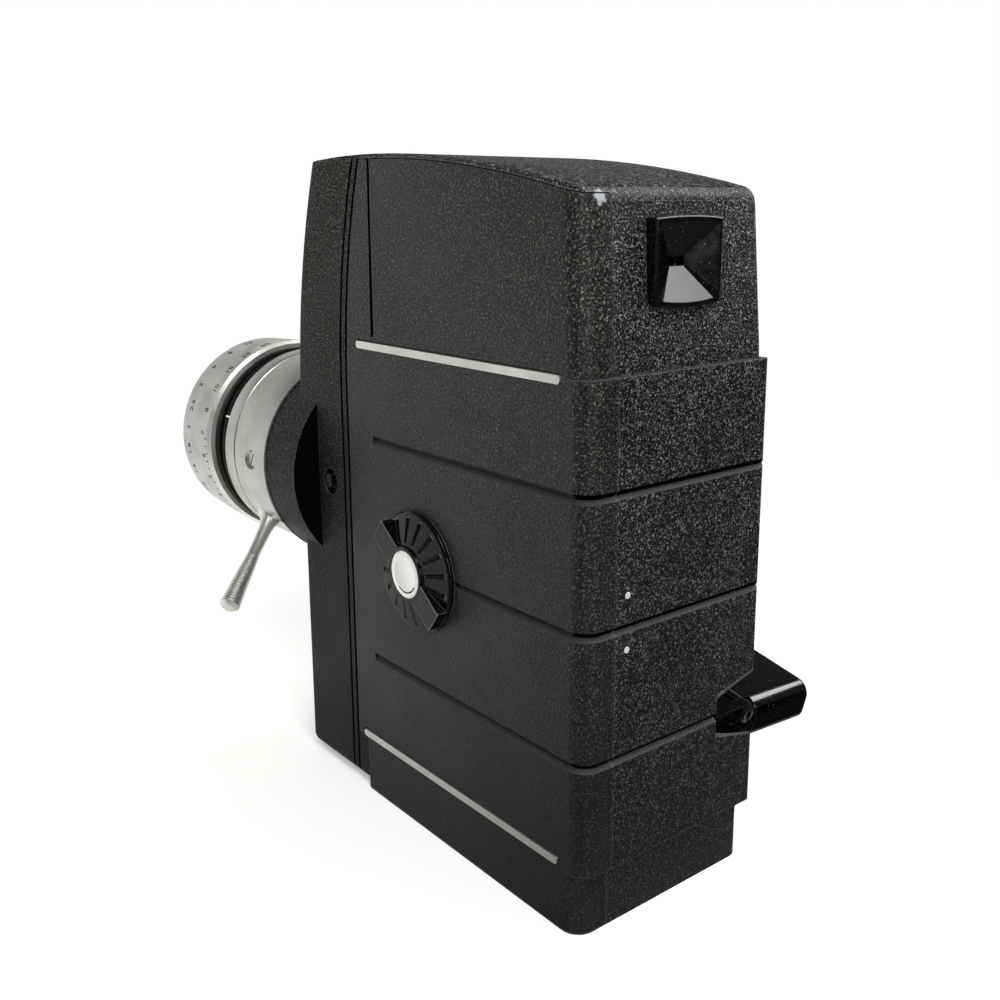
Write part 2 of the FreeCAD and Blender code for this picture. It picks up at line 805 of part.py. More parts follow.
def between(a, ra, b, rb, side):
    """Return the point at distance ra from a and rb from b, on the chosen side."""
    dy = b[0] - a[0]
    dz = b[1] - a[1]
    gap_length = math.hypot(dy, dz)
    along = (ra**2 - rb**2 + gap_length**2) / (2 * gap_length)
    off = math.sqrt(ra**2 - along**2) * side
    return (a[0] + (along * dy - off * dz) / gap_length, a[1] + (along * dz + off * dy) / gap_length)


def pitch_radius(teeth):
    """Return the pitch radius of a train wheel."""
    return gear_module * teeth / 2


def train():
    """Return the axis and tooth phase of every wheel of the train."""
    barrel = (wind_y, wind_z)
    takeup = (feed_y, takeup_z)
    reach = pitch_radius(barrel_teeth) + pitch_radius(pinion_teeth)
    takeup_reach = pitch_radius(takeup_teeth) + pitch_radius(pinion_teeth)
    second = between(barrel, reach, takeup, takeup_reach, -1)
    hop = pitch_radius(wheel_teeth) + pitch_radius(pinion_teeth)
    rise = shutter_z - second[1]
    third = (second[0] - math.sqrt(hop**2 - rise**2), shutter_z)
    second_phase = mesh_phase(barrel, 0.0, barrel_teeth, second, pinion_teeth)
    return {
        "barrel": (barrel, 0.0),
        "second": (second, second_phase),
        "takeup": (takeup, mesh_phase(second, second_phase, pinion_teeth, takeup, takeup_teeth)),
        "third": (third, mesh_phase(second, 0.0, wheel_teeth, third, pinion_teeth)),
    }


def mainspring_barrel():
    """The toothed drum that holds the mainspring."""
    drum = rod_x(-12.6, -6.3, wind_y, wind_z, 15.4).cut(rod_x(-11.6, -6.2, wind_y, wind_z, 14.4))
    wheel = toothed_x(-6.3, -4.9, wind_y, wind_z, barrel_teeth, 0.0, gear_module, backlash)
    body = drum.fuse(wheel)
    return body.cut(rod_x(-14, -4, wind_y, wind_z, 3.05)).removeSplitter()


def mainspring():
    """The spiral spring wound between the arbor and the drum."""
    turns = 5.0
    steps = 90
    outward = []
    inward = []
    for i in range(steps + 1):
        angle = 2 * math.pi * turns * i / steps
        radius = 4.2 + (14.0 - 4.2) * i / steps
        outward.append((wind_y + (radius + 0.3) * math.cos(angle), wind_z + (radius + 0.3) * math.sin(angle)))
        inward.append((wind_y + (radius - 0.3) * math.cos(angle), wind_z + (radius - 0.3) * math.sin(angle)))
    return section(outward + inward[::-1], -11.4, -6.6)


def second_wheel():
    """The arbor that the barrel and the take-up share, with its large wheel."""
    (y, z), phase = train()["second"]
    pinion = toothed_x(-6.5, -1.9, y, z, pinion_teeth, phase, gear_module, backlash)
    wheel = toothed_x(-4.6, -3.6, y, z, wheel_teeth, 0.0, gear_module, backlash)
    pivots = rod_x(bridge_back_x + 0.1, plate_x - 0.1, y, z, 1.2)
    return wheel.fuse([pinion, pivots]).removeSplitter()


def third_wheel():
    """The arbor with the crown teeth that turn the shutter shaft."""
    (y, z), phase = train()["third"]
    pinion = toothed_x(-5.2, -2.6, y, z, pinion_teeth, phase, gear_module, backlash)
    radius = crown_module * crown_teeth / 2
    disc = rod_x(crown_root_x, -1.7, y, z, radius + 1.0)
    pitch_line = shutter_x + crown_module * shutter_teeth / 2
    teeth = []
    for i in range(crown_teeth):
        step = 2 * math.pi / crown_teeth
        angle = math.pi + (i + 0.5) * step
        teeth.append(crown_tooth(y, z, radius, angle, pitch_line))
    pivots = rod_x(bridge_back_x + 0.1, plate_x - 0.1, y, z, 1.2)
    return disc.fuse(teeth + [pinion, pivots]).removeSplitter()


def crown_tooth(y, z, radius, angle, pitch_line):
    """One radial tooth of the crown wheel, facing -X."""
    pitch = math.pi * crown_module
    tip = pitch_line - 0.7 * crown_module
    root = crown_root_x + 0.02
    half_tip = pitch / 4 - 0.7 * crown_module * 0.364 - 0.1
    half_root = pitch / 4 + (root - pitch_line) * 0.364 - 0.1
    corners = [Vector(tip, -half_tip, 0), Vector(root, -half_root, 0), Vector(root, half_root, 0),
               Vector(tip, half_tip, 0)]
    face = Part.Face(Part.makePolygon(corners + corners[:1]))
    tooth = face.extrude(Vector(0, 0, 1.8))
    tooth.translate(Vector(0, 0, radius - 0.9))
    tooth.rotate(Vector(0, 0, 0), X_AXIS, math.degrees(angle) - 90)
    tooth.translate(Vector(0, y, z))
    return tooth


def shutter_shaft():
    """The shaft along the light path's direction, with its pinion."""
    (y, z), _ = train()["third"]
    contact = y - crown_module * crown_teeth / 2
    y0 = contact - 1.2
    pinion = toothed_y(y0, y0 + 2.4, shutter_x, shutter_z, shutter_teeth, 0.0, crown_module, 0.1)
    shaft = rod_y(blade_y - 1.6, contact + 6.5, shutter_x, shutter_z, 1.2)
    collar = rod_y(blade_y + 0.5, blade_y + 2.5, shutter_x, shutter_z, 3.0)
    return pinion.fuse([shaft, collar]).removeSplitter()


def shutter_blade():
    """The open sector disc that covers the gate."""
    disc = rod_y(blade_y, blade_y + 0.5, shutter_x, shutter_z, shutter_radius)
    start = 150.0
    sector = Part.makeCylinder(shutter_radius + 2, 4, Vector(shutter_x, blade_y - 1, shutter_z), Y_AXIS, 160)
    sector.rotate(Vector(shutter_x, 0, shutter_z), Y_AXIS, start)
    opening = sector.cut(rod_y(blade_y - 2, blade_y + 4, shutter_x, shutter_z, 5.0))
    return disc.cut(opening).cut(rod_y(blade_y - 2, blade_y + 4, shutter_x, shutter_z, 1.2))


def governor_weights():
    """Two brake weights on a sleeve of the shutter shaft."""
    y0 = -31.0
    sleeve = rod_y(y0, y0 + 8, shutter_x, shutter_z, 1.9)
    arms = box(shutter_x - 3.0, shutter_x + 3.0, y0 + 2.6, y0 + 3.8, shutter_z - 0.9, shutter_z + 0.9)
    bobs = []
    for side in (-1, 1):
        bobs.append(rod_y(y0 + 1.0, y0 + 5.4, shutter_x + side * 3.1, shutter_z, 1.5))
    body = sleeve.fuse([arms] + bobs)
    return body.cut(rod_y(y0 - 1, y0 + 9, shutter_x, shutter_z, 1.2)).removeSplitter()


def train_frame():
    """Brackets that carry the shutter shaft on the mechanism plate."""
    made = []
    for y0 in (-20.0, -38.4):
        block = box(shutter_x - 4.5, plate_back_x, y0, y0 + 3.0, shutter_z - 4.5, shutter_z + 4.5)
        made.append(block.cut(rod_y(y0 - 1, y0 + 4, shutter_x, shutter_z, 1.25)))
    return Part.makeCompound(made)


def outlined(points, radius, x0, x1):
    """A plate with rounded corners round a list of (y, z) points."""
    corners = [Vector(x0, y, z) for y, z in points]
    wire = Part.makePolygon(corners + corners[:1])
    grown = wire.makeOffset2D(radius)
    return Part.Face(grown).extrude(Vector(x1 - x0, 0, 0))


def mechanism_plate():
    """The plate that parts the film chamber from the movement."""
    plate = outlined([(-33, 22), (54, 22), (54, 122), (-33, 122)], 3.5, plate_back_x, plate_x)
    cuts = [rod_x(-3, 3, wind_y, wind_z, 1.05)]
    (y, z), _ = train()["second"]
    cuts.append(rod_x(-3, 3, y, z, 1.25))
    (y, z), _ = train()["third"]
    cuts.append(rod_x(-3, 3, y, z, 1.25))
    cuts.append(rod_x(-3, 3, feed_y, takeup_z, 2.05))
    cuts.append(rod_x(-3, 3, feed_y, feed_z, 2.05))
    cuts.append(rod_x(-3, 3, counter_arm_y, counter_arm_z, 2.05))
    return plate.cut(cuts)


def plate_screws():
    """Screws that hold the mechanism plate on its posts."""
    made = []
    for y, z in post_places:
        head = rod_x(plate_x, plate_x + 0.9, y, z, 2.6)
        head = head.cut(box(plate_x + 0.5, plate_x + 2, y - 3, y + 3, z - 0.3, z + 0.3))
        made.append(head)
    return Part.makeCompound(made)


def bearing_bridge():
    """The small plate that carries the train's far pivots."""
    (y2, z2), _ = train()["second"]
    (y3, z3), _ = train()["third"]
    points = [pillar_places[0], pillar_places[1], (y2, z2), pillar_places[2]]
    plate = outlined(points, 3.6, bridge_back_x, bridge_x)
    return plate.cut([rod_x(-14, -10, y2, z2, 1.25), rod_x(-14, -10, y3, z3, 1.25)])


def pillars():
    """Spacers between the mechanism plate and the bearing bridge."""
    return Part.makeCompound([rod_x(bridge_x, plate_back_x, y, z, 2.0) for y, z in pillar_places])


# Film path


def takeup_spindle():
    """The driven spindle of the lower spool, with its gear."""
    (y, z), phase = train()["takeup"]
    wheel = toothed_x(-2.9, -1.9, y, z, takeup_teeth, phase, gear_module, backlash)
    journal = rod_x(-2.9, 1.2, y, z, 2.0)
    post = rod_x(1.2, 20.4, y, z, 3.6)
    fins = [box(1.2, 18.8, y - 4.4, y + 4.4, z - 0.6, z + 0.6)]
    return wheel.fuse([journal, post] + fins).removeSplitter()


def takeup_spool():
    """The flanged take-up spool."""
    profile = [(1.5, 5.0), (1.5, spool_radius), (2.3, spool_radius), (2.6, 9.5),
               (18.0, 9.5), (18.3, spool_radius), (19.1, spool_radius), (19.1, 5.0)]
    spool = turned_x(profile, feed_y, takeup_z)
    cuts = []
    for i in range(3):
        angle = math.radians(30 + i * 120)
        cuts.append(rod_x(0, 21, feed_y + 17 * math.cos(angle), takeup_z + 17 * math.sin(angle), 4.0))
    return spool.cut(cuts)


def feed_spindle():
    """The plain spindle of the upper spool."""
    journal = rod_x(-3.4, 1.2, feed_y, feed_z, 2.0)
    post = rod_x(1.2, 20.4, feed_y, feed_z, 3.6)
    fins = box(1.2, 18.8, feed_y - 4.4, feed_y + 4.4, feed_z - 0.6, feed_z + 0.6)
    return post.fuse([journal, fins]).removeSplitter()


def film_guides():
    """Two waisted posts that lead the film to and from the gate."""
    made = []
    for z in (lens_z + 22, lens_z - 22):
        made.append(turned_x([(plate_x, 0), (plate_x, 3.4), (2.2, 3.4), (2.6, 2.4), (17.9, 2.4), (18.3, 3.4),
                              (19.6, 3.4), (19.6, 0)], -24.0, z))
    return Part.makeCompound(made)


def film_gate():
    """The aperture plate with its side rails and foot."""
    plate = box(plate_x + 0.02, 19.6, gate_y - 1.4, gate_y, lens_z - 17, lens_z + 17)
    foot = box(plate_x + 0.02, 2.0, gate_y - 1.4, gate_y + 6, lens_z - 17, lens_z + 17)
    rail = box(18.6, 19.6, gate_y - 0.2, gate_y + 1.0, lens_z - 17, lens_z + 17)
    gate = plate.fuse([foot, rail])
    gate = gate.cut(box(lens_x - 2.3, lens_x + 2.3, gate_y - 3, gate_y + 1, lens_z - 1.75, lens_z + 1.75))
    slot = box(claw_x - 0.7, claw_x + 0.7, gate_y - 3, gate_y + 1, lens_z - 10, lens_z - 3)
    return gate.cut(slot).removeSplitter()


def claw():
    """The pull-down claw that slides behind the gate."""
    arm = box(claw_x - 0.7, claw_x + 0.7, gate_y - 2.6, gate_y - 1.7, lens_z - 26, lens_z - 3.6)
    y0 = gate_y - 1.8
    y1 = gate_y + 0.25
    outline = [(y0, lens_z - 9.2), (y1, lens_z - 8.6), (y1, lens_z - 8.0), (y0, lens_z - 7.8)]
    tooth = section(outline, claw_x - 0.5, claw_x + 0.5)
    return arm.fuse(tooth).removeSplitter()


def pressure_plate():
    """The sprung plate that holds the film flat, with its guide pin."""
    plate = box(2.5, 18.2, gate_y + 0.4, gate_y + 1.4, lens_z - 13, lens_z + 13)
    ends = pick(plate, lambda p: abs(abs(p.z - lens_z) - 13) < 0.01 and p.y > gate_y + 1.3)
    plate = plate.makeFillet(0.9, ends)
    pin = rod_y(gate_y + 1.4, gate_y + 10.4, 10.3, lens_z, 1.5)
    return plate.fuse(pin)


def plate_bracket():
    """The bracket on the mechanism plate that guides the pressure plate."""
    wall_part = box(plate_x + 0.02, 14.6, gate_y + 6.4, gate_y + 7.8, lens_z - 6, lens_z + 6)
    foot = box(plate_x + 0.02, 1.9, gate_y + 6.4, gate_y + 14, lens_z - 6, lens_z + 6)
    return wall_part.fuse(foot).cut(rod_y(gate_y + 5, gate_y + 9, 10.3, lens_z, 1.55)).removeSplitter()


# Counter


def counter_shaft():
    """The counter's shaft with its graduated dial."""
    shaft = rod_x(key_side_x + 3.4, plate_x + 0.8, counter_arm_y, counter_arm_z, 2.0)
    dial = rod_x(key_side_x + 2.6, key_side_x + 3.6, counter_arm_y, counter_arm_z, 11.0)
    return shaft.fuse(dial).removeSplitter()


def counter_feeler():
    """The arm that rests against the film on the feed spool."""
    hub = rod_x(plate_x + 0.8, 4.6, counter_arm_y, counter_arm_z, 3.4)
    arm = box(3.0, 4.6, counter_arm_y - 2, counter_arm_y + 27, counter_arm_z - 1.8, counter_arm_z + 1.8)
    shoe = rod_x(3.0, 14.0, counter_arm_y + 26, counter_arm_z, 1.8)
    feeler = hub.fuse([arm, shoe])
    feeler.rotate(Vector(0, counter_arm_y, counter_arm_z), X_AXIS, feeler_angle)
    return feeler.removeSplitter()


def counter_window():
    """The round window over the dial."""
    return rod_x(key_side_x + 0.4, key_side_x + wall, counter_y, counter_z, window_radius)


# Lens


def lens_tube():
    """The fixed tube that carries every ring of the lens."""
    rear = boss_rear_y
    front = index_front_y - 0.2
    return turned_y([(rear - 2.4, 8.2), (rear - 2.4, core_radius), (front, core_radius), (front, core_bore),
                     (-56.0, core_bore), (-54.0, 12.0), (-54.0, 8.2)])


def zoom_slot():
    """The slot in the lens tube that the set screw's tip sweeps through."""
    y = screw_y
    corners = [Vector(lens_x + core_bore - 1, y - 2, lens_z), Vector(lens_x + core_radius + 1, y - 2, lens_z),
               Vector(lens_x + core_radius + 1, y + 2, lens_z), Vector(lens_x + core_bore - 1, y + 2, lens_z)]
    face = Part.Face(Part.makePolygon(corners + corners[:1]))
    slot = face.revolve(Vector(lens_x, 0, lens_z), Vector(0, -1, 0), zoom_slot_sweep)
    return radial(slot, zoom_slot_start)


def zoom_ring():
    """The silver ring that carries the zoom lever."""
    ring = turned_y([(zoom_rear_y, core_radius + 0.05), (zoom_rear_y, zoom_radius - 0.3),
                     (zoom_rear_y - 0.3, zoom_radius), (zoom_front_y + 0.3, zoom_radius),
                     (zoom_front_y, zoom_radius - 0.3), (zoom_front_y, core_radius + 0.05)])
    return ring.cut([set_screw(0.02), lever_rod(0.0)])


def radial(shape, angle):
    """Turn a shape built along +X at the lens axis by an angle above the horizontal."""
    shape.rotate(Vector(lens_x, 0, lens_z), Y_AXIS, -angle)
    return shape


def set_screw(extra):
    """The headless screw in the zoom ring, whose tip drives the zoom cell."""
    y = screw_y
    body = Part.makeCylinder(2.1 + extra, 3.4, Vector(lens_x + 27.2, y, lens_z), X_AXIS)
    tip = Part.makeCylinder(1.4 + extra, 5.0, Vector(lens_x + 22.0, y, lens_z), X_AXIS)
    screw = body.fuse(tip)
    if extra == 0:
        screw = screw.cut(Part.makeBox(2, 6, 0.7, Vector(lens_x + 30.0, y - 3, lens_z - 0.35)))
        screw = screw.common(Part.makeCylinder(zoom_radius - 0.1, 12, Vector(lens_x, y - 6, lens_z), Y_AXIS))
    return radial(screw.removeSplitter(), 1.5)


def lever_rod(extra):
    """The tapering rod of the zoom lever, leaning towards the body."""
    length = math.hypot(lever_tip_radius - zoom_radius, lever_lean * (lever_tip_radius - zoom_radius))
    rise = math.degrees(math.atan(lever_lean))
    r0 = 2.2 + extra
    root = Part.makeCone(4.2 + extra, r0, 3.4, Vector(-0.6, 0, 0), X_AXIS)
    stem = Part.makeCylinder(r0, 3.0, Vector(-1.9, 0, 0), X_AXIS)
    shank = Part.makeCone(r0, 2.5, length * 0.42, Vector(0, 0, 0), X_AXIS)
    grip = Part.makeCone(2.75, 3.1, length * 0.52 - 1.0, Vector(length * 0.42, 0, 0), X_AXIS)
    cap = Part.makeCone(3.1, 2.3, 1.6, Vector(length * 0.94 - 1.0, 0, 0), X_AXIS)
    rod = root.fuse([stem, shank, grip, cap]).removeSplitter()
    rod.rotate(Vector(0, 0, 0), Z_AXIS, rise)
    rod.translate(Vector(lens_x + zoom_radius, lever_y, lens_z))
    rod = rod.cut(rod_y(-100, -50, lens_x, lens_z, core_radius + 1.2))
    return radial(rod, -lever_angle)


def zoom_cell():
    """The sliding cell of the zoom group, with a relief for the drive screw's tip."""
    y = screw_y
    return turned_y([(y + 9, 15.1), (y + 9, core_bore - 0.06), (y + 5.5, core_bore - 0.06), (y + 5.5, 21.4),
                     (y - 5.5, 21.4), (y - 5.5, core_bore - 0.06), (y - 9, core_bore - 0.06), (y - 9, 15.1)])


def zoom_lens():
    """The biconvex glass of the zoom cell."""
    return lens_glass(screw_y, 15.05, 3.4, 1.2)


def lens_glass(y, radius, thick, bulge):
    """A lens with gently convex faces, turned about the lens axis."""
    sphere_radius = (radius**2 + bulge**2) / (2 * bulge)
    half = thick / 2 + bulge
    glass = rod_y(y - half - 1, y + half + 1, lens_x, lens_z, radius)
    front = Part.makeSphere(sphere_radius, Vector(lens_x, y - half + sphere_radius, lens_z))
    back = Part.makeSphere(sphere_radius, Vector(lens_x, y + half - sphere_radius, lens_z))
    return glass.common(front).common(back)


def silver_collar():
    """The narrow fixed collar in front of the zoom ring."""
    return turned_y([(zoom_front_y - 0.5, core_radius + 0.02), (zoom_front_y - 0.5, zoom_radius - 0.3),
                     (zoom_front_y - 0.8, zoom_radius - 0.05), (collar_front_y + 0.2, zoom_radius - 0.05),
                     (collar_front_y, zoom_radius - 0.3), (collar_front_y, core_radius + 0.02)])


def index_ring():
    """The black ring with two grooves that carries the index mark."""
    r = 29.6
    y = collar_front_y - 0.05
    profile = [(y, core_radius + 0.02), (y, r - 0.5), (y - 1.2, r - 0.5), (y - 1.2, r), (y - 2.8, r),
               (y - 2.8, r - 0.7), (y - 3.6, r - 0.7), (y - 3.6, r + 0.1), (index_front_y, r + 0.1),
               (index_front_y, core_radius + 0.02)]
    return turned_y(profile)


def focus_ring():
    """The front ring: bevelled rear edge, slight taper and an inner thread bore."""
    y0 = index_front_y - 0.4
    profile = [(y0, core_radius + 0.6), (y0, focus_radius - 0.9), (y0 - 0.9, focus_radius),
               (rim_y + 0.5, rim_radius), (rim_y, rim_radius - 0.5), (rim_y, filter_radius),
               (rim_y + filter_depth, filter_radius), (rim_y + filter_depth, 25.3), (y0 - 3.0, 25.3),
               (y0 - 3.0, core_radius + 0.6)]
    return turned_y(profile)


def front_cell():
    """The sliding cell of the front glass."""
    y0 = rim_y + filter_depth + 2.2
    return turned_y([(y0, 21.1), (y0, 25.2), (y0 + 12, 25.2), (y0 + 12, 21.1)])


def front_lens():
    """The large front glass."""
    return lens_glass(rim_y + filter_depth + 7.2, 21.05, 5.0, 1.8)


def rear_lens():
    """The small rear glass in the throat of the lens tube."""
    return lens_glass(boss_rear_y - 4.2, 8.15, 2.0, 0.6)


def iris_plate():
    """The plate with the fixed stop behind the zoom group."""
    return turned_y([(-56.1, 4.0), (-56.1, core_bore - 0.02), (-57.0, core_bore - 0.02), (-57.0, 4.0)])


# Viewfinder


def window_wire(y, w, h, rise, radius):
    """An upright window outline across Y: arched top and bottom, rounded lower corners."""
    left = finder_x - w
    right = finder_x + w
    top = finder_z + h
    bottom = finder_z - h
    part = radius * (1 - math.sqrt(0.5))
    edges = [
        line(Vector(left, y, bottom + radius), Vector(left, y, top)),
        arc(Vector(left, y, top), Vector(finder_x, y, top + rise), Vector(right, y, top)),
        line(Vector(right, y, top), Vector(right, y, bottom + radius)),
        arc(Vector(right, y, bottom + radius), Vector(right - part, y, bottom + part),
            Vector(right - radius, y, bottom)),
        arc(Vector(right - radius, y, bottom), Vector(finder_x, y, bottom - rise),
            Vector(left + radius, y, bottom)),
        arc(Vector(left + radius, y, bottom), Vector(left + part, y, bottom + part),
            Vector(left, y, bottom + radius)),
    ]
    return Part.Wire(edges)


def eyepiece_block(grow, y0, y1):
    """The eyepiece's outer form."""
    w = finder_width / 2 + grow
    h = finder_height / 2 + grow
    wire = window_wire(y0, w, h, finder_rise, finder_corner_radius)
    return Part.Face(wire).extrude(Vector(0, y1 - y0, 0))


def eyepiece_frame():
    """The rear frame of the viewfinder, a shallow funnel down to the small sight hole."""
    block = eyepiece_block(-0.02, 51.0, rear_y - 0.05)
    block = block.makeFillet(0.5, pick(block, lambda p: p.y > rear_y - 0.1))
    depth = rear_y - 0.05 - funnel_depth
    slope_w = (mouth_half_width - sight_half_width) / funnel_depth
    slope_h = (mouth_half_height - sight_half_height) / funnel_depth
    mouth = window_wire(rear_y + 0.15, mouth_half_width + 0.2 * slope_w, mouth_half_height + 0.2 * slope_h,
                        finder_rise, mouth_corner_radius)
    sight = window_wire(depth, sight_half_width, sight_half_height, 0.06, 0.3)
    funnel = Part.makeLoft([mouth, sight], True, True)
    hole = box(finder_x - sight_half_width, finder_x + sight_half_width, 55.0, depth + 0.1,
               finder_z - sight_half_height, finder_z + sight_half_height)
    back = box(finder_x - 6.4, finder_x + 6.4, 50.0, 54.2, finder_z - 5.4, finder_z + 5.4)
    seat = rod_y(54, 55.5, finder_x, finder_z, 3.0)
    return block.cut([funnel, hole, back, seat])


def eyepiece_lens():
    """The small round glass behind the sight hole."""
    return rod_y(54.25, 55.4, finder_x, finder_z, 2.98)


def finder_tube():
    """The rectangular tube from the eyepiece to the front window."""
    outer_box = box(finder_x - 6.3, finder_x + 6.3, -49.5, 53.8, finder_z - 5.3, finder_z + 5.3)
    return outer_box.cut(box(finder_x - 5.5, finder_x + 5.5, -51, 55, finder_z - 4.5, finder_z + 4.5))


def finder_window():
    """The front glass of the viewfinder in its rebate."""
    return box(finder_x - 8.15, finder_x + 8.15, -53.6, -52.0, finder_z - 6.15, finder_z + 6.15)


# Winding key


def placed_key(shape, droop):
    """Move a key piece from its own frame to its place at the dish."""
    shape.rotate(Vector(0, 0, 0), Y_AXIS, droop)
    shape.rotate(Vector(0, 0, 0), X_AXIS, key_tilt)
    shape.translate(Vector(hinge_x, wind_y, wind_z))
    return shape


def hinge_rod(y0, y1, radius):
    """A round bar along the hinge line, in the key's own frame."""
    return Part.makeCylinder(radius, y1 - y0, Vector(0, y0, 0), Y_AXIS)


def key_wing():
    """The thick folding grip of the winding key, with rounded ends and a knuckle between the hub's ears."""
    wing = box(-key_reach, 0, -key_half_span, key_half_span, key_bottom, key_top)
    for z, radius in ((key_top, key_upper_radius), (key_bottom, key_lower_radius)):
        ends = pick(wing, lambda p: abs(p.y) > key_half_span - 0.01 and abs(p.z - z) < 0.01)
        wing = wing.makeFillet(radius, ends)
    wing = wing.makeFillet(key_rim_radius, pick(wing, lambda p: p.x < -key_reach + 0.01))
    room = box(-key_nose - 1.0, 5, ear_inner - 0.2, key_half_span + 1, -12, 12)
    wing = wing.cut([room, room.mirror(Vector(0, 0, 0), Y_AXIS)])
    knuckle = hinge_rod(0.2 - ear_inner, ear_inner - 0.2, key_nose - 0.2)
    wing = wing.fuse(knuckle).cut(hinge_rod(-30, 30, pin_radius + 0.05))
    return placed_key(wing.removeSplitter(), key_droop)


def key_pin():
    """The hinge pin of the wing, with a flanged and hollow riveted head at its rear end."""
    pin = hinge_rod(-ear_outer, ear_outer, pin_radius)
    flange = hinge_rod(ear_outer, ear_outer + 0.25, 2.6)
    head = hinge_rod(ear_outer, ear_outer + 0.7, 1.8)
    pin = pin.fuse([flange, head]).cut(hinge_rod(ear_outer - 0.6, ear_outer + 1, 1.0))
    return placed_key(pin.removeSplitter(), 0)


def hub_ear(y0):
    """One ear of the hub: rounded over the pin, upright and flush with the wing below it."""
    k = key_nose * math.sqrt(0.5)
    foot_x = dish_floor_x - 0.3 - hinge_x
    outer = [(-key_nose, 0), (-key_nose, key_bottom)]
    inner = [(foot_x, key_bottom), (foot_x, key_nose), (0, key_nose)]
    corners = [Vector(x, y0, z) for x, z in outer + inner]
    edges = [line(a, b) for a, b in zip(corners, corners[1:])]
    edges.append(arc(corners[-1], Vector(-k, y0, k), corners[0]))
    return Part.Face(Part.Wire(edges)).extrude(Vector(0, ear_outer - ear_inner, 0))


def key_hub():
    """The hub across the dish: a solid bar with an ear at each end for the hinge pin, on a round foot."""
    foot_x = dish_floor_x - 0.3 - hinge_x
    bar = box(key_nose + 0.4, foot_x, -ear_outer, ear_outer, key_bottom, key_nose)
    hub = bar.fuse([hub_ear(ear_inner), hub_ear(-ear_outer)]).removeSplitter()
    ends = pick(hub, lambda p: abs(p.y) > ear_outer - 0.01 and p.z < key_bottom + 0.01 and p.x > 1 - key_nose)
    hub = hub.makeFillet(4.0, ends)
    foot = Part.makeCylinder(18.6, 2.0, Vector(foot_x - 2.0, 0, 0), X_AXIS)
    hub = hub.fuse(foot).cut(hinge_rod(-20, 20, pin_radius + 0.02))
    hub = placed_key(hub.removeSplitter(), 0)
    return hub.cut(rod_x(-16.6, 0, wind_y, wind_z, 3.0))


def winding_arbor():
    """The arbor from the key to the centre of the mainspring."""
    big = rod_x(-16.6, -4.6, wind_y, wind_z, 3.0)
    end = rod_x(-4.6, plate_x - 0.1, wind_y, wind_z, 1.0)
    return big.fuse(end).removeSplitter()


# Small parts


def tripod_bush():
    """The threaded bush of the tripod socket."""
    bush = rod_z(0, 6.5, 0, 0, 5.0).cut(rod_z(-1, 5.6, 0, 0, socket_radius))
    return bush


def back_rivets():
    """Two rivets in the back."""
    made = []
    for z in rivet_heights:
        shank = rod_y(rear_y - wall - 0.8, rear_y, rivet_x, z, 0.73)
        head = rod_y(rear_y, rear_y + 0.25, rivet_x, z, 0.8)
        made.append(shank.fuse(head))
    return Part.makeCompound(made)


def leaf_spring():
    """The leaf spring inside the back, held by the two rivets."""
    y0 = rear_y - wall - 0.8
    leaf = box(rivet_x - 2.6, rivet_x + 2.6, y0, rear_y - wall - 0.05, 62, 86)
    for z in rivet_heights:
        leaf = leaf.cut(rod_y(50, 65, rivet_x, z, 0.75))
    return leaf


def run_button():
    """The release button on the front, with its stem."""
    cap = rod_y(front_y - 3.6, front_y + 1.0, button_x, button_z, button_radius)
    cap = cap.makeFillet(0.8, pick(cap, lambda p: p.y < front_y - 3.5))
    stem = rod_y(front_y + 1.0, front_y + 14, button_x, button_z, 2.0)
    flange = rod_y(front_y + wall + 3.3, front_y + wall + 4.3, button_x, button_z, 3.4)
    return cap.fuse([stem, flange]).removeSplitter()


def release_bracket():
    """The cast web that guides the release button's stem."""
    y0 = front_y + 9.4
    web = box(button_x - 6, button_x + 6, y0, y0 + 2.0, nose_floor_z + wall - 0.5, button_z + 5)
    return web.cut(rod_y(y0 - 1, y0 + 3, button_x, button_z, 2.05))


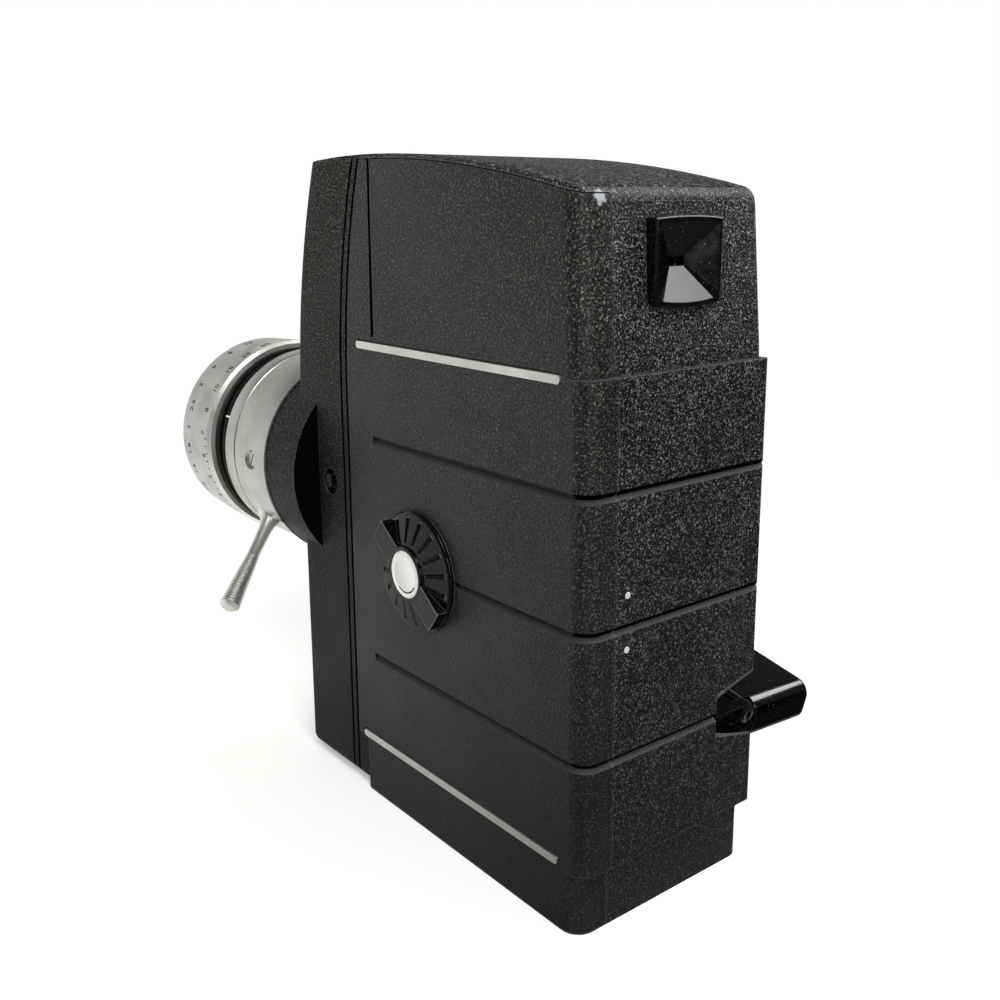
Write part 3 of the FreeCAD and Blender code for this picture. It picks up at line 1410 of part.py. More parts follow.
def main():
    """Build and save every sub-part."""
    outer = envelope(0.0)
    inner = envelope(wall)
    save("main_housing", main_casting(outer, inner))
    save("front_housing", nose_casting(outer, inner))
    save("film_door", film_door(outer, inner))
    save("trim_strips", strips())
    save("side_screws", side_screws())
    save("lock_knob", lock_knob())
    save("knob_disc", knob_disc())
    save("latch_pinion", latch_pinion())
    save("upper_bolt", rack(1))
    save("lower_bolt", rack(-1))
    save("bolt_cover", bolt_cover())
    save("bolt_guides", bolt_guides())
    save("mainspring_barrel", mainspring_barrel())
    save("mainspring", mainspring())
    save("second_wheel", second_wheel())
    save("third_wheel", third_wheel())
    save("shutter_shaft", shutter_shaft())
    save("shutter_blade", shutter_blade())
    save("governor_weights", governor_weights())
    save("shutter_brackets", train_frame())
    save("mechanism_plate", mechanism_plate())
    save("plate_screws", plate_screws())
    save("bearing_bridge", bearing_bridge())
    save("plate_pillars", pillars())
    save("takeup_spindle", takeup_spindle())
    save("takeup_spool", takeup_spool())
    save("feed_spindle", feed_spindle())
    save("film_guides", film_guides())
    save("film_gate", film_gate())
    save("claw", claw())
    save("pressure_plate", pressure_plate())
    save("plate_bracket", plate_bracket())
    save("counter_dial", counter_shaft())
    save("counter_feeler", counter_feeler())
    save("counter_window", counter_window())
    save("lens_tube", lens_tube().cut(zoom_slot()))
    save("zoom_ring", zoom_ring())
    save("zoom_setscrew", set_screw(0))
    save("zoom_lever", lever_rod(0.0))
    save("zoom_cell", zoom_cell())
    save("zoom_lens", zoom_lens())
    save("silver_collar", silver_collar())
    save("index_ring", index_ring())
    save("focus_ring", focus_ring())
    save("front_cell", front_cell())
    save("front_lens", front_lens())
    save("rear_lens", rear_lens())
    save("iris_plate", iris_plate())
    save("eyepiece_frame", eyepiece_frame())
    save("eyepiece_lens", eyepiece_lens())
    save("finder_tube", finder_tube())
    save("finder_window", finder_window())
    save("key_wing", key_wing())
    save("key_pin", key_pin())
    save("key_hub", key_hub())
    save("winding_arbor", winding_arbor())
    save("tripod_bush", tripod_bush())
    save("back_rivets", back_rivets())
    save("leaf_spring", leaf_spring())
    save("run_button", run_button())


if __name__ == "__main__":
    main()
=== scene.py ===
import math

import bmesh
import bpy
from bpy.props import FloatProperty, FloatVectorProperty, IntProperty, PointerProperty
from bpy.types import Operator, Panel, PropertyGroup
from mathutils import Matrix, Vector


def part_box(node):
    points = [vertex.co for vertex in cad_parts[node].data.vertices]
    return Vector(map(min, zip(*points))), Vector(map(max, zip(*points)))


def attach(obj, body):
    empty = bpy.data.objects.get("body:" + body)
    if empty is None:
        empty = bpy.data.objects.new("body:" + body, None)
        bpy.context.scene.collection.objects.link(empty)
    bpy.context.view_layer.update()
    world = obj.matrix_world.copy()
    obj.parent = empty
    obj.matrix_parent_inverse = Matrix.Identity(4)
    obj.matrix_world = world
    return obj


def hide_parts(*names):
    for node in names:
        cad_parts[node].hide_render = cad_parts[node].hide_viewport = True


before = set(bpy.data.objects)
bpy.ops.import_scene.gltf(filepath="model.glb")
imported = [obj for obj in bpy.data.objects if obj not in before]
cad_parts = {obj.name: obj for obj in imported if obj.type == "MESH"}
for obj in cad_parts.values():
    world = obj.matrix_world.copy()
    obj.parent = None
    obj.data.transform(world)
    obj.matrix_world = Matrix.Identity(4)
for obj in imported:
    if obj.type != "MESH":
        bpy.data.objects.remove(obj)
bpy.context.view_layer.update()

bl_info = {
    "name": "Spring-driven movie camera",
    "version": (1, 0, 0),
    "blender": (4, 5, 0),
    "location": "View3D > Sidebar > Movie camera",
    "description": "Dresses the packed frame of a small cine camera with a zoom lens",
    "category": "Object",
}

MM = 0.001


# Places read from the frame


def centre(node):
    """Middle of a CAD node's box."""
    low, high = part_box(node)
    return (low + high) / 2


LENS = centre("focus_ring")
LENS_X, LENS_Z = LENS.x, LENS.z
KNOB = centre("lock_knob")
DIAL = centre("counter_dial")
SOCKET = centre("tripod_bush")
SIDE_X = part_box("trim_strips")[1].x - 0.35 * MM
BACK_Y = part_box("main_housing")[1].y


def ring_box(node):
    """Rear end, front end and outer radius in mm of a ring on the lens axis."""
    low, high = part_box(node)
    return high.y / MM, low.y / MM, (high.z - LENS_Z) / MM


# Colours


def linear(code):
    """An sRGB hex value such as 3a3a38 as linear red, green, blue and alpha."""
    values = []
    for i in (0, 2, 4):
        c = int(code[i:i + 2], 16) / 255
        values.append(c / 12.92 if c <= 0.04045 else ((c + 0.055) / 1.055) ** 2.4)
    return (*values, 1.0)


# Node trees


def add_node(tree, kind, settings=(), links=()):
    """Adds one shader node: settings are (socket, property or stops, value), links are (socket, source)."""
    made = tree.nodes.new("ShaderNode" + kind)
    for key, value in settings:
        if key == "stops":
            elements = made.color_ramp.elements
            while len(elements) < len(value):
                elements.new(0.5)
            for element, (place, code) in zip(elements, value):
                element.position = place
                element.color = linear(code)
        elif isinstance(key, int) or key in made.inputs:
            made.inputs[key].default_value = value
        else:
            setattr(made, key, value)
    for key, source in links:
        tree.links.new(source, made.inputs[key])
    return made


def new_material(name, colour, metallic, roughness, extra=()):
    """A material with one principled shader; returns material, tree and the object coordinates."""
    material = bpy.data.materials.new(name)
    material.use_nodes = True
    tree = material.node_tree
    values = [("Base Color", linear(colour)), ("Metallic", metallic), ("Roughness", roughness), *extra]
    for key, value in values:
        tree.nodes["Principled BSDF"].inputs[key].default_value = value
    return material, tree, add_node(tree, "TexCoord").outputs["Object"]


def lead_to_shader(material, colour, gloss, relief=None):
    """Leads the colour, the roughness and any relief to the material's shader."""
    tree = material.node_tree
    for key, source in (("Base Color", colour), ("Roughness", gloss), ("Normal", relief)):
        if source is not None:
            tree.links.new(source, tree.nodes["Principled BSDF"].inputs[key])
    return material


# Finishes


# Middle of the one pale spot on the door's top rear corner, a painted highlight drawn like a chip in the
# enamel
GLINT_CORNER = (22.6 * MM, 58.4 * MM, 164.5 * MM)
FINISH = {}


def wrinkle_enamel(name, stops, grain_mm, relief_mm, roughness, edge_wear_and_highlight, specular, height_light_tones):
    """Baked black wrinkle enamel: hard little ridges drawn pale as painted highlight, pits drawn dark as
    painted shade, edges drawn paler as rubbed wear and painted highlight, and one pale spot painted as a
    highlight.

    The coat is drawn paler towards the top, and lower down its ridges fade to a flat grey: painted light from
    above. The grain has the real size on the sides. On the roof, which is seen at a flat angle, that would
    not show, so it is drawn twice as coarse.
    """
    material, tree, place = new_material(name, "101010", 0.0, roughness,
                                         [("IOR", 1.5), ("Specular IOR Level", specular)])
    ridges = add_node(tree, "TexNoise", [("Scale", 1 / (grain_mm * MM)), ("Detail", 2.0), ("Roughness", 0.6),
                                         ("Distortion", 0.5)], [("Vector", place)]).outputs["Fac"]
    coarse = add_node(tree, "TexNoise", [("Scale", 1 / (2.4 * grain_mm * MM)), ("Detail", 1.0)],
                      [("Vector", place)]).outputs["Fac"]
    cloud = add_node(tree, "TexNoise", [("Scale", 1 / (24 * MM)), ("Detail", 2.0)],
                     [("Vector", place)]).outputs["Fac"]
    height = add_node(tree, "Math", [("operation", "MULTIPLY_ADD"), (1, 0.5)],
                      [(0, coarse), (2, ridges)]).outputs[0]
    # Ridges drawn pale and pits dark in the colour: painted highlight and painted shade, beside the bump
    sharp = add_node(tree, "ValToRGB", [("stops", stops)], [("Fac", ridges)]).outputs["Color"]
    level = add_node(tree, "SeparateXYZ", links=[("Vector", place)]).outputs["Z"]
    # Lower down the ridges fade to one flat grey: their painted highlight weakens there, as painted light
    # from above
    flatter_low_down = add_node(tree, "MapRange", [("From Min", 20 * MM), ("From Max", 150 * MM), ("To Min", 0.65),
                                         ("To Max", 0.0)], [("Value", level)]).outputs["Result"]
    speckle = add_node(tree, "Mix", [("data_type", "RGBA"), (7, linear("1a1b1b"))],
                       [(0, flatter_low_down), (6, sharp)]).outputs[2]
    # The coat is drawn darker low down and paler high up: painted light from above
    pale = add_node(tree, "MapRange", [("From Min", 20 * MM), ("From Max", 130 * MM), ("To Min", height_light_tones[0]),
                                       ("To Max", height_light_tones[1])], [("Value", level)]).outputs["Result"]
    patchy = add_node(tree, "MapRange", [("From Min", 0.3), ("From Max", 0.7), ("To Min", 0.8),
                                         ("To Max", 1.15)], [("Value", cloud)]).outputs["Result"]
    tone = add_node(tree, "Math", [("operation", "MULTIPLY")], [(0, pale), (1, patchy)]).outputs[0]
    toned = add_node(tree, "Mix", [("data_type", "RGBA"), ("blend_type", "MULTIPLY"), (0, 1.0)],
                     [(6, speckle), (7, tone)]).outputs[2]
    # Convex edges drawn pale: partly rubbed wear, partly painted highlight
    inner = add_node(tree, "AmbientOcclusion", [("samples", 4), ("inside", True), ("only_local", True),
                                                ("Distance", 0.35 * MM)]).outputs["AO"]
    edge = add_node(tree, "MapRange", [("From Min", 0.45), ("From Max", 0.8), ("To Min", edge_wear_and_highlight),
                                       ("To Max", 0.0)], [("Value", inner)]).outputs["Result"]
    marks_and_edge_highlight = add_node(tree, "Math", [("operation", "MULTIPLY")], [(0, edge), (1, ridges)]).outputs[0]
    rubbed_off_and_highlit = add_node(tree, "Mix", [("data_type", "RGBA"), (7, linear("8a8a84"))],
                          [(0, marks_and_edge_highlight), (6, toned)]).outputs[2]
    # A ragged pale spot round the corner point above: a painted highlight on the rounded corner, drawn like a
    # chip
    reach = add_node(tree, "VectorMath", [("operation", "DISTANCE"), (1, GLINT_CORNER)],
                     [(0, place)]).outputs["Value"]
    ragged = add_node(tree, "Math", [("operation", "MULTIPLY_ADD"), (1, 2.4 * MM)],
                      [(0, coarse), (2, reach)]).outputs[0]
    chip_and_glint = add_node(tree, "MapRange", [("From Min", 2.3 * MM), ("From Max", 3.0 * MM), ("To Min", 1.0),
                                       ("To Max", 0.0)], [("Value", ragged)]).outputs["Result"]
    colour = add_node(tree, "Mix", [("data_type", "RGBA"), (7, linear("8d9498"))],
                      [(0, chip_and_glint), (6, rubbed_off_and_highlit)]).outputs[2]
    gloss = add_node(tree, "MapRange", [("From Min", 0.3), ("From Max", 0.7), ("To Min", roughness - 0.07),
                                        ("To Max", roughness + 0.07)], [("Value", cloud)]).outputs["Result"]
    rounded = add_node(tree, "Bevel", [("samples", 4), ("Radius", 0.3 * MM)]).outputs["Normal"]
    relief = add_node(tree, "Bump", [("Strength", 0.9), ("Distance", relief_mm * MM)],
                      [("Height", height), ("Normal", rounded)]).outputs["Normal"]
    return lead_to_shader(material, colour, gloss, relief)


def moulded_plastic(name, colour, roughness, edge_wear_and_highlight, specular):
    """Glossy compression-moulded plastic: deep black with faint smears, dull specks, and edges drawn grey as
    rubbed wear and painted highlight.

    The specks of dust are drawn at 0.5 mm, coarser than real ones, so that they show.
    """
    material, tree, place = new_material(name, colour, 0.0, roughness,
                                         [("IOR", 1.5), ("Specular IOR Level", specular)])
    smudge = add_node(tree, "TexNoise", [("Scale", 1 / (5 * MM)), ("Detail", 3.0), ("Distortion", 1.2)],
                      [("Vector", place)]).outputs["Fac"]
    gloss = add_node(tree, "MapRange", [("From Min", 0.35), ("From Max", 0.7), ("To Min", roughness),
                                        ("To Max", roughness + 0.08)], [("Value", smudge)]).outputs["Result"]
    specks = add_node(tree, "TexNoise", [("Scale", 1 / (0.5 * MM)), ("Detail", 2.0)],
                      [("Vector", place)]).outputs["Fac"]
    dust = add_node(tree, "MapRange", [("From Min", 0.68), ("From Max", 0.76), ("To Max", 0.35)],
                    [("Value", specks)]).outputs["Result"]
    # Convex edges drawn grey: partly rubbed wear, partly painted highlight
    inner = add_node(tree, "AmbientOcclusion", [("samples", 4), ("inside", True), ("only_local", True),
                                                ("Distance", 0.45 * MM)]).outputs["AO"]
    edge = add_node(tree, "MapRange", [("From Min", 0.4), ("From Max", 0.75), ("To Min", edge_wear_and_highlight),
                                       ("To Max", 0.0)], [("Value", inner)]).outputs["Result"]
    marks_and_edge_highlight = add_node(tree, "Math", [("operation", "MAXIMUM")], [(0, edge), (1, dust)]).outputs[0]
    tone = add_node(tree, "Mix", [("data_type", "RGBA"), (6, linear(colour)), (7, linear("8b8c88"))],
                    [(0, marks_and_edge_highlight)]).outputs[2]
    rounded = add_node(tree, "Bevel", [("samples", 4), ("Radius", 0.3 * MM)]).outputs["Normal"]
    relief = add_node(tree, "Bump", [("Strength", 0.2), ("Distance", 0.01 * MM)],
                      [("Height", smudge), ("Normal", rounded)]).outputs["Normal"]
    return lead_to_shader(material, tone, gloss, relief)


def spun_metal(name, colour, roughness, pitch_mm=0.12, stain="8f8d86", amount=0.25, axis="Y"):
    """Lathe-turned or brushed metal: fine lines across the axis and soft clouding from years of handling.

    Real turning lines are about 0.05 mm apart, which is too fine to show, so the pitch is drawn coarser.
    """
    material, tree, place = new_material(name, colour, 1.0, roughness)
    along = add_node(tree, "SeparateXYZ", links=[("Vector", place)]).outputs[axis]
    line = add_node(tree, "CombineXYZ", links=[("X", along)]).outputs[0]
    turning = add_node(tree, "TexNoise", [("Scale", 1 / (2 * pitch_mm * MM)), ("Roughness", 0.6)],
                       [("Vector", line)]).outputs["Fac"]
    cloud = add_node(tree, "TexNoise", [("Scale", 1 / (9 * MM)), ("Detail", 3.0), ("Distortion", 0.4)],
                     [("Vector", place)]).outputs["Fac"]
    stained = add_node(tree, "MapRange", [("From Min", 0.42), ("From Max", 0.72), ("To Max", amount)],
                       [("Value", cloud)]).outputs["Result"]
    tone = add_node(tree, "Mix", [("data_type", "RGBA"), (6, linear(colour)), (7, linear(stain))],
                    [(0, stained)]).outputs[2]
    both = add_node(tree, "Math", [("operation", "MULTIPLY_ADD"), (1, 0.5)],
                    [(0, turning), (2, cloud)]).outputs[0]
    gloss = add_node(tree, "MapRange", [("From Min", 0.55), ("From Max", 0.95), ("To Min", roughness - 0.04),
                                        ("To Max", roughness + 0.1)], [("Value", both)]).outputs["Result"]
    relief = add_node(tree, "Bump", [("Strength", 0.12), ("Distance", 0.01 * MM)],
                      [("Height", turning)]).outputs["Normal"]
    return lead_to_shader(material, tone, gloss, relief)


def milled_metal(name, colour, roughness, stain, amount):
    """Stamped or milled metal inside the works: a plain grain with oil stains.

    The grain is drawn at 0.25 mm, coarser than the real tool marks, so that it shows.
    """
    material, tree, place = new_material(name, colour, 1.0, roughness)
    drawn_out = add_node(tree, "Mapping", [("Scale", (1.0, 1.0, 0.12))], [("Vector", place)]).outputs[0]
    grain = add_node(tree, "TexNoise", [("Scale", 1 / (0.25 * MM)), ("Roughness", 0.6)],
                     [("Vector", drawn_out)]).outputs["Fac"]
    cloud = add_node(tree, "TexNoise", [("Scale", 1 / (7 * MM)), ("Detail", 3.0), ("Distortion", 0.6)],
                     [("Vector", place)]).outputs["Fac"]
    stained = add_node(tree, "MapRange", [("From Min", 0.45), ("From Max", 0.75), ("To Max", amount)],
                       [("Value", cloud)]).outputs["Result"]
    tone = add_node(tree, "Mix", [("data_type", "RGBA"), (6, linear(colour)), (7, linear(stain))],
                    [(0, stained)]).outputs[2]
    gloss = add_node(tree, "MapRange", [("From Min", 0.3), ("From Max", 0.7), ("To Min", roughness - 0.06),
                                        ("To Max", roughness + 0.08)], [("Value", grain)]).outputs["Result"]
    relief = add_node(tree, "Bump", [("Strength", 0.1), ("Distance", 0.01 * MM)],
                      [("Height", grain)]).outputs["Normal"]
    return lead_to_shader(material, tone, gloss, relief)


def flat_paint(name, colour, chip_and_glint, roughness, chip_level, specular=0.5):
    """Thin paint or anodising with small chips that show what is under it.

    The spray grain is drawn at 0.22 mm, coarser than the real one, so that it shows.
    """
    material, tree, place = new_material(name, colour, 0.0, roughness,
                                         [("IOR", 1.45), ("Specular IOR Level", specular)])
    flakes = add_node(tree, "TexNoise", [("Scale", 1 / (0.9 * MM)), ("Detail", 3.0), ("Roughness", 0.65)],
                      [("Vector", place)]).outputs["Fac"]
    chips = add_node(tree, "MapRange", [("From Min", chip_level), ("From Max", chip_level + 0.04)],
                     [("Value", flakes)]).outputs["Result"]
    tone = add_node(tree, "Mix", [("data_type", "RGBA"), (6, linear(colour)), (7, linear(chip_and_glint))],
                    [(0, chips)]).outputs[2]
    grain = add_node(tree, "TexNoise", [("Scale", 1 / (0.22 * MM)), ("Detail", 2.0)],
                     [("Vector", place)]).outputs["Fac"]
    gloss = add_node(tree, "MapRange", [("From Min", 0.3), ("From Max", 0.7), ("To Min", roughness - 0.05),
                                        ("To Max", roughness + 0.08)], [("Value", grain)]).outputs["Result"]
    relief = add_node(tree, "Bump", [("Strength", 0.3), ("Distance", 0.012 * MM)],
                      [("Height", grain)]).outputs["Normal"]
    return lead_to_shader(material, tone, gloss, relief)


def coated_glass(name, tint, roughness):
    """Ground and polished optical glass whose coating leaves a faint bloom."""
    material, tree, place = new_material(name, tint, 0.0, roughness,
                                         [("IOR", 1.52), ("Transmission Weight", 1.0)])
    bloom = add_node(tree, "TexNoise", [("Scale", 1 / (6 * MM)), ("Detail", 2.0)],
                     [("Vector", place)]).outputs["Fac"]
    gloss = add_node(tree, "MapRange", [("From Min", 0.45), ("From Max", 0.75), ("To Min", roughness),
                                        ("To Max", roughness + 0.05)], [("Value", bloom)]).outputs["Result"]
    share = add_node(tree, "MapRange", [("From Min", 0.4), ("From Max", 0.8), ("To Max", 0.5)],
                     [("Value", bloom)]).outputs["Result"]
    tone = add_node(tree, "Mix", [("data_type", "RGBA"), (6, linear(tint)), (7, linear("c3cdec"))],
                    [(0, share)]).outputs[2]
    return lead_to_shader(material, tone, gloss)


def make_finishes():
    """Every finish of the object, once."""
    # The ridges are drawn pale as painted highlight: the door's are warmer and finer in contrast than the
    # body's, which are blue grey
    door = [(0.38, "000000"), (0.48, "0b0b0a"), (0.58, "2b2b27"), (0.72, "68685f")]
    body = [(0.38, "000000"), (0.48, "0a0b0b"), (0.57, "333535"), (0.7, "8c9090")]
    FINISH.update({
        # The tones say how dark each coat is drawn low down and how pale high up, as painted light from above
        "door_enamel": wrinkle_enamel("door_wrinkle_enamel", door, grain_mm=0.5, relief_mm=0.17,
                                      roughness=0.5, edge_wear_and_highlight=0.4, specular=0.3, height_light_tones=(0.6, 1.0)),
        "nose_enamel": wrinkle_enamel("nose_wrinkle_enamel", door, grain_mm=0.5, relief_mm=0.17,
                                      roughness=0.55, edge_wear_and_highlight=0.5, specular=0.12, height_light_tones=(0.6, 1.35)),
        "body_enamel": wrinkle_enamel("body_wrinkle_enamel", body, grain_mm=0.42, relief_mm=0.14,
                                      roughness=0.45, edge_wear_and_highlight=0.4, specular=0.28, height_light_tones=(0.6, 0.8)),
        "roof_enamel": wrinkle_enamel("roof_wrinkle_enamel", body, grain_mm=0.8, relief_mm=0.3,
                                      roughness=0.6, edge_wear_and_highlight=0.4, specular=0.1, height_light_tones=(0.5, 0.8)),
        # Plastics: colour, roughness, how far the edges are drawn grey as rubbed wear and painted highlight,
        # specular level
        "gloss_plastic": moulded_plastic("gloss_black_plastic", "030303", 0.08, 0.15, 0.35),
        "knob_plastic": moulded_plastic("rubbed_and_edge_highlit_black_plastic", "040404", 0.13, 0.95, 0.25),
        "key_face": moulded_plastic("key_face_black_plastic", "020202", 0.3, 0.1, 0.02),
        "key_gloss": moulded_plastic("key_gloss_black_plastic", "030303", 0.1, 0.15, 1.0),
        "eyepiece_gloss": moulded_plastic("eyepiece_gloss_black_plastic", "020202", 0.1, 0.08, 0.45),
        "matt_grey_and_highlight": moulded_plastic("matt_grey_and_highlight_paint", "292926", 0.6, 1.0, 0.35),
        # Paints and anodising: colour, what the chips show, roughness, how rare they are, specular level
        "inner_paint": flat_paint("matt_black_inner_paint", "161616", "33332f", 0.6, 0.72, 0.4),
        "painted_shade_black": flat_paint("unlit_black_recess", "020202", "070707", 0.9, 0.72, 0.05),
        "rivet_metal": flat_paint("rubbed_rivet_metal", "a9a9a5", "77766f", 0.4, 0.68),
        "pin_black": flat_paint("brown_black_pin", "0c0807", "2a211b", 0.35, 0.66, 0.4),
        "white_enamel": flat_paint("white_disc_enamel", "e3e4df", "b4b2aa", 0.4, 0.74),
        "black_anodised": flat_paint("black_anodised_ring", "040404", "22221f", 0.42, 0.74, 0.04),
        "brown_anodised": flat_paint("worn_anodised_ring", "100c0a", "332b22", 0.42, 0.7, 0.06),
        "black_steel": flat_paint("blackened_steel", "101010", "3c3a37", 0.42, 0.72),
        "ink": flat_paint("black_engraving_paint", "101010", "4a4a48", 0.6, 0.62, 0.3),
        "white_ink": flat_paint("white_engraving_paint", "ecece6", "b0b0a8", 0.5, 0.8),
        # Turned and brushed metals: colour, roughness, pitch of the lines in mm, stain and its amount
        "lever_aluminium": spun_metal("polished_lever_aluminium", "e6e5df", 0.4, 0.2, "a8a496", 0.3),
        "satin_aluminium": spun_metal("satin_aluminium", "bab9b4", 0.36),
        "bright_aluminium": spun_metal("bright_turned_aluminium", "f2f1ec", 0.42),
        "strip_aluminium": spun_metal("brushed_strip_aluminium", "d2d1cc", 0.46, 0.08, "b8b6af", 0.35, "Z"),
        "nickel": spun_metal("nickel_plate", "cdcabf", 0.16, 0.2, "8c887a", 0.35),
        # Metals of the works: colour, roughness, stain and its amount
        "brass": milled_metal("machined_brass", "c8a04c", 0.28, "7d5a22", 0.4),
        "steel": milled_metal("ground_steel", "a9adb0", 0.26, "6a6b6a", 0.35),
        "blued_steel": milled_metal("blued_spring_steel", "3c4458", 0.3, "54483c", 0.4),
        "glass": coated_glass("coated_optical_glass", "eef2ee", 0.02),
    })


# Making and shaping pieces


def deselect():
    """Nothing selected and object mode."""
    if bpy.context.object and bpy.context.object.mode != "OBJECT":
        bpy.ops.object.mode_set(mode="OBJECT")
    bpy.ops.object.select_all(action="DESELECT")


def only(piece):
    """Makes one piece the active and only selected object."""
    deselect()
    piece.select_set(True)
    bpy.context.view_layer.objects.active = piece
    return piece


def settle(name):
    """Names the new active object and puts its place into its mesh."""
    piece = bpy.context.object
    piece.name = name
    piece.data.name = name
    bpy.ops.object.transform_apply(location=True, rotation=True, scale=True)
    return piece


def apply_modifier(piece, kind, settings):
    """Adds one modifier with its settings and applies it."""
    only(piece)
    modifier = piece.modifiers.new(kind.lower(), kind)
    for key, value in settings:
        setattr(modifier, key, value)
    bpy.ops.object.modifier_apply(modifier=modifier.name)
    return piece


def soften(piece, width_mm, segments=2, angle=28.0):
    """Rounds the sharp edges a little and shades the rest smooth."""
    if width_mm:
        apply_modifier(piece, "BEVEL", [("width", width_mm * MM), ("segments", segments),
                                        ("limit_method", "ANGLE"), ("angle_limit", math.radians(angle)),
                                        ("miter_outer", "MITER_ARC")])
    only(piece)
    bpy.ops.object.shade_smooth_by_angle(angle=math.radians(angle))
    return piece


def cut_away(piece, cutter, operation="DIFFERENCE"):
    """Applies one boolean with another object, which is then removed."""
    apply_modifier(piece, "BOOLEAN", [("operation", operation), ("object", cutter), ("solver", "EXACT")])
    bpy.data.objects.remove(cutter)
    return piece


def joined(pieces, name):
    """Joins several objects into one."""
    deselect()
    for piece in pieces:
        piece.select_set(True)
    bpy.context.view_layer.objects.active = pieces[0]
    if len(pieces) > 1:
        bpy.ops.object.join()
    pieces[0].name = name
    pieces[0].data.name = name
    return pieces[0]


def paint(piece, *finishes):
    """Gives a piece its finishes, in slot order."""
    piece.data.materials.clear()
    for finish in finishes:
        piece.data.materials.append(FINISH[finish])
    return piece


def paint_faces(piece, finish, test):
    """Gives the faces whose centre and normal pass a test another of the piece's finishes."""
    index = piece.data.materials.find(FINISH[finish].name)
    for face in piece.data.polygons:
        if test(face.center, face.normal):
            face.material_index = index


def off_lens(place):
    """Distance from the lens axis in mm."""
    return math.hypot(place.x - LENS_X, place.z - LENS_Z) / MM


def hand_over(piece, body, slot, *nodes):
    """Puts a finished piece on the body it rides on and hides the nodes it stands for. The slot is not used.
    """
    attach(piece, body)
    if nodes:
        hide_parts(*nodes)
    return piece


AXES = {"X": Vector((1, 0, 0)), "Y": Vector((0, 1, 0)), "Z": Vector((0, 0, 1))}


def drawn(name, corners):
    """Draws a row of points joined by edges and stays in edit mode."""
    deselect()
    bpy.ops.mesh.primitive_plane_add(size=MM, location=corners[0])
    piece = settle(name)
    bpy.ops.object.mode_set(mode="EDIT")
    bpy.ops.mesh.select_all(action="SELECT")
    bpy.ops.mesh.merge(type="CENTER")
    for here, there in zip(corners, corners[1:]):
        bpy.ops.mesh.extrude_vertices_move(TRANSFORM_OT_translate={"value": there - here})
    return piece


def close_up():
    """Turns all faces of the piece in edit mode outwards and goes back to object mode."""
    bpy.ops.mesh.select_all(action="SELECT")
    bpy.ops.mesh.normals_make_consistent(inside=False)
    bpy.ops.object.mode_set(mode="OBJECT")


def prism(name, corners, pull):
    """Fills an outline, pulls it out and stays in edit mode with the far end selected."""
    piece = drawn(name, corners)
    bpy.ops.mesh.select_all(action="SELECT")
    bpy.ops.mesh.edge_face_add()
    bpy.ops.mesh.extrude_region_move(TRANSFORM_OT_translate={"value": pull})
    return piece


def turned(name, profile, steps=144, axis="Y", place=(LENS_X, 0.0, LENS_Z)):
    """Draws a closed profile of (place along the axis, radius) in mm and spins it round the axis."""
    along = AXES[axis]
    out = AXES["Y" if axis == "X" else "X"]
    middle = Vector(place) - Vector(place).dot(along) * along
    corners = [middle + along * a * MM + out * r * MM for a, r in profile]
    piece = drawn(name, corners)
    mesh = bmesh.from_edit_mesh(piece.data)
    for vertex in mesh.verts:
        vertex.select_set(len(vertex.link_edges) < 2)
    bpy.ops.mesh.edge_face_add()
    bpy.ops.mesh.select_all(action="SELECT")
    bpy.ops.mesh.spin(steps=steps, angle=2 * math.pi, center=middle, axis=along)
    bpy.ops.mesh.select_all(action="SELECT")
    bpy.ops.mesh.remove_doubles(threshold=1e-7)
    close_up()
    return piece


def block(name, centre_mm, size_mm):
    """A block at its size and place, in mm."""
    deselect()
    bpy.ops.mesh.primitive_cube_add(size=1.0, location=Vector(centre_mm) * MM, scale=Vector(size_mm) * MM)
    return settle(name)


def rod(name, start, end, radius, vertices=48):
    """A round bar between two places in metres, with its radius in mm."""
    start, end = Vector(start), Vector(end)
    turn = (end - start).to_track_quat("Z", "Y").to_euler()
    deselect()
    bpy.ops.mesh.primitive_cylinder_add(vertices=vertices, radius=radius * MM,
                                        depth=(end - start).length, location=(start + end) / 2, rotation=turn)
    return settle(name)


def figures(text, height_mm):
    """Flat raised figures in the XY plane, round the origin."""
    deselect()
    bpy.ops.object.text_add()
    piece = bpy.context.object
    piece.data.body = text
    piece.data.size = height_mm * 1.4 * MM
    piece.data.align_x = "CENTER"
    piece.data.align_y = "CENTER"
    piece.data.resolution_u = 3
    piece.data.extrude = 0.03 * MM
    bpy.ops.object.convert(target="MESH")
    return bpy.context.object


def finished_copy(node, cutters=()):
    """A merged copy of a CAD node, cut where asked, with smooth curves, crisp edges and flat faces."""
    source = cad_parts[node]
    deselect()
    copy = source.copy()
    copy.data = source.data.copy()
    bpy.context.scene.collection.objects.link(copy)
    copy.hide_viewport = False
    copy.parent = None
    for key in list(copy.keys()):
        del copy[key]
    copy.name = node + "_finished"
    copy.data.name = copy.name
    only(copy)
    bpy.ops.mesh.customdata_custom_splitnormals_clear()
    bpy.ops.object.mode_set(mode="EDIT")
    bpy.ops.mesh.select_all(action="SELECT")
    bpy.ops.mesh.remove_doubles(threshold=2e-6)
    bpy.ops.object.mode_set(mode="OBJECT")
    for cutter in cutters:
        cut_away(copy, cutter)
    only(copy)
    bpy.ops.object.shade_smooth_by_angle(angle=math.radians(28))
    return apply_modifier(copy, "WEIGHTED_NORMAL", [("keep_sharp", True)])


# The stage


